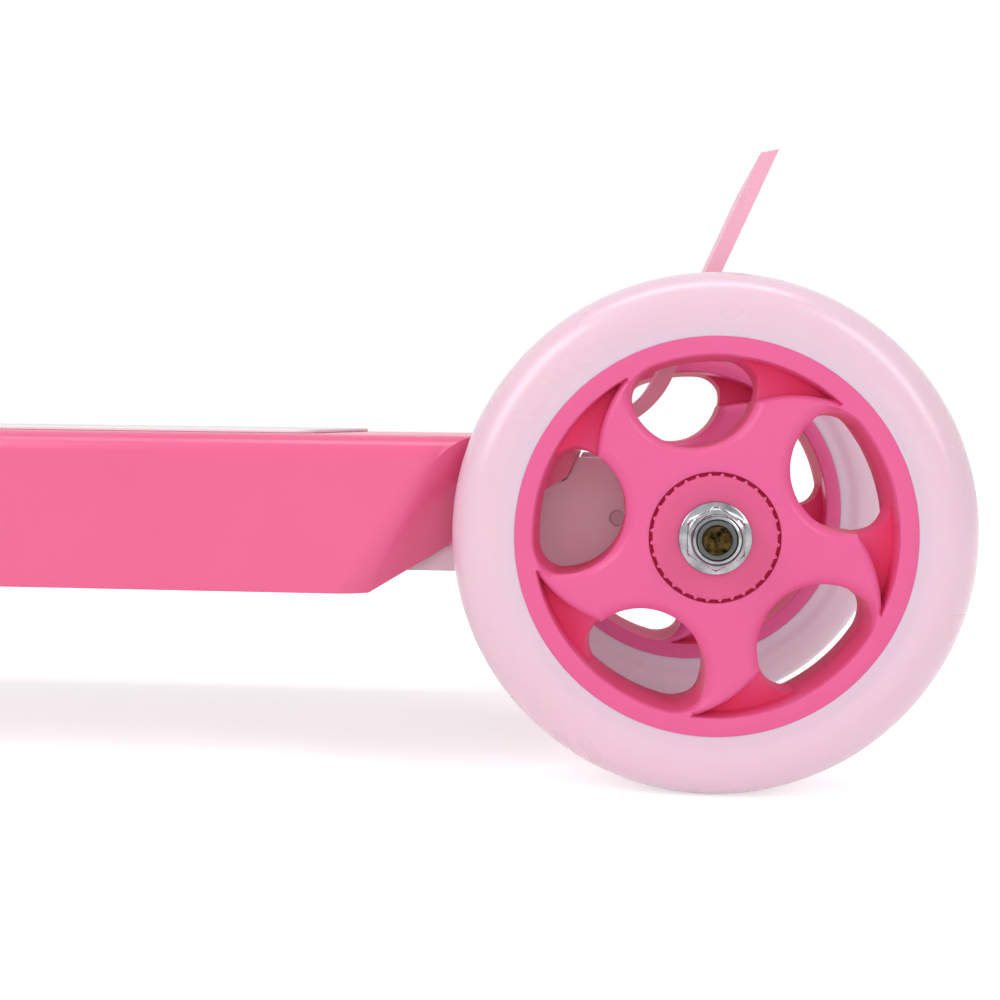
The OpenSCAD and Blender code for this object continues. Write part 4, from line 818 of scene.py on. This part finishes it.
pedal = {  # millimetres: the plate's foot from the rear axle, its lean, and the slant cut of its tip
    "foot": (-10.9, 38.8), "lean": 24.0, "long": 63.0, "slant": 0.7, "shorter": 0.6, "over": 10.0,
    "round": 1.5,
}
mesh = mergedCopy("brake_pedal")
p = pointsOf(mesh)
lean = math.radians(pedal["lean"])
up, aside = np.array([math.sin(lean), 0, math.cos(lean)]), np.array([math.cos(lean), 0, -math.sin(lean)])
fromFoot = (p - rearAxle) / mm - (pedal["foot"][0], 0, pedal["foot"][1])
atTip = ease((fromFoot @ up - pedal["long"] + pedal["over"]) / pedal["over"])
p += up * (atTip * (pedal["slant"] * (fromFoot @ aside) - pedal["shorter"]))[:, None] * mm
setPoints(mesh, p)
# the pedal's paler pink is partly painted light
roundEdges(place("brake_pedal_softened", mesh, "brake_pedal", finishes["pedalPink"]), pedal["round"], 4)
print("softened:", len(softened) + 2, "pedal tip points", int((atTip > 0).sum()))

# metres, degrees and millimetres
view = {"place": (0.175, -0.4284, 0.0888), "turn": (87.06, -0.74, 4.115), "lens": 54.64}
cameraData = bpy.data.cameras.new("camera")
cameraData.lens = view["lens"]
cameraData.clip_start = 0.01
camera = bpy.data.objects.new("camera", cameraData)
camera.location = view["place"]
camera.rotation_euler = [math.radians(a) for a in view["turn"]]
scene.collection.objects.link(camera)
scene.camera = camera

lamps = {  # place, aim, width and height in metres, power in watts, and whether gloss shows it
    "overhead": ((0.1, -0.15, 1.5), (0.1, -0.05, 0.05), (1.4, 0.3), 5.8, True),
    "leftSoft": ((-0.7, -0.64, 0.8), (0.2, -0.06, 0.06), (0.45, 0.9), 4.65, True),
    "rightSoft": ((1.02, -0.79, 0.75), (0.2, -0.06, 0.06), (0.3, 0.8), 3.0, True),
    "front": ((0.15, -1.6, 0.3), (0.2, 0, 0.06), (1.2, 0.9), 5.75, False),
    "behind": ((0.2, 1.6, 0.9), (0.1, 0, 0.1), (1.6, 0.9), 3, False),
}
for name, (spot, aim, size, power, shine) in lamps.items():
    data = bpy.data.lights.new(name, "AREA")
    data.shape = "RECTANGLE"
    data.size, data.size_y = size
    data.energy = power
    light = bpy.data.objects.new(name, data)
    light.visible_glossy = shine
    light.location = spot
    light.rotation_euler = (Vector(aim) - Vector(spot)).to_track_quat("-Z", "Y").to_euler()
    scene.collection.objects.link(light)

room = {
    "fill": 0.35, "background": 1.0, "floorReach": 8.0, "floorTone": 0.94,
    # the floor's lift to white for the eye, near the object and far from it, in metres from the middle
    "liftNear": 0.56, "liftFar": 0.9, "near": 0.35, "far": 0.9,
}


def seenDirectly(tree):
    # one for the camera's rays, mirrored rays and rays through clear stuff, nought for the light on surfaces
    path = tree.nodes.new("ShaderNodeLightPath")
    seen = path.outputs["Is Camera Ray"]
    for other in ("Is Glossy Ray", "Is Transmission Ray"):
        either = addNode(tree, "ShaderNodeMath", operation="MAXIMUM")
        tree.links.new(seen, either.inputs[0])
        tree.links.new(path.outputs[other], either.inputs[1])
        seen = either.outputs[0]
    return seen


world = bpy.data.worlds.new("room")
scene.world = world
world.use_nodes = True
tree = world.node_tree
tree.nodes.clear()
fill = addNode(tree, "ShaderNodeBackground", Color=(1, 1, 1, 1), Strength=room["fill"])
white = addNode(tree, "ShaderNodeBackground", Color=(1, 1, 1, 1), Strength=room["background"])
mixer = tree.nodes.new("ShaderNodeMixShader")
output = tree.nodes.new("ShaderNodeOutputWorld")
tree.links.new(seenDirectly(tree), mixer.inputs["Fac"])
tree.links.new(fill.outputs[0], mixer.inputs[1])
tree.links.new(white.outputs[0], mixer.inputs[2])
tree.links.new(mixer.outputs[0], output.inputs["Surface"])

floorMesh = bpy.data.meshes.new("floor")
reach = room["floorReach"]
corners = [(-reach, -reach, 0), (reach, -reach, 0), (reach, reach, 0), (-reach, reach, 0)]
floorMesh.from_pydata(corners, [], [(0, 1, 2, 3)])
floor = bpy.data.objects.new("floor", floorMesh)
scene.collection.objects.link(floor)
material = bpy.data.materials.new("floorPaper")
material.use_nodes = True
tree = material.node_tree
tree.nodes.clear()
tone = room["floorTone"]
paper = addNode(tree, "ShaderNodeBsdfDiffuse", Color=(tone, tone, tone, 1))
lift = addNode(tree, "ShaderNodeEmission", Color=(1, 1, 1, 1))
scaled = addNode(tree, "ShaderNodeMath", operation="MULTIPLY")
coords = tree.nodes.new("ShaderNodeTexCoord")
away = addNode(tree, "ShaderNodeVectorMath", operation="LENGTH")
tree.links.new(coords.outputs["Object"], away.inputs[0])
span = addNode(tree, "ShaderNodeMapRange", From_Min=room["near"], From_Max=room["far"],
               To_Min=room["liftNear"], To_Max=room["liftFar"])
adder = tree.nodes.new("ShaderNodeAddShader")
output = tree.nodes.new("ShaderNodeOutputMaterial")
tree.links.new(away.outputs["Value"], span.inputs["Value"])
tree.links.new(seenDirectly(tree), scaled.inputs[0])
tree.links.new(span.outputs["Result"], scaled.inputs[1])
tree.links.new(scaled.outputs[0], lift.inputs["Strength"])
tree.links.new(paper.outputs[0], adder.inputs[0])
tree.links.new(lift.outputs[0], adder.inputs[1])
tree.links.new(adder.outputs[0], output.inputs["Surface"])
floorMesh.materials.append(material)
scene.view_settings.view_transform = "Standard"
print("room ready")
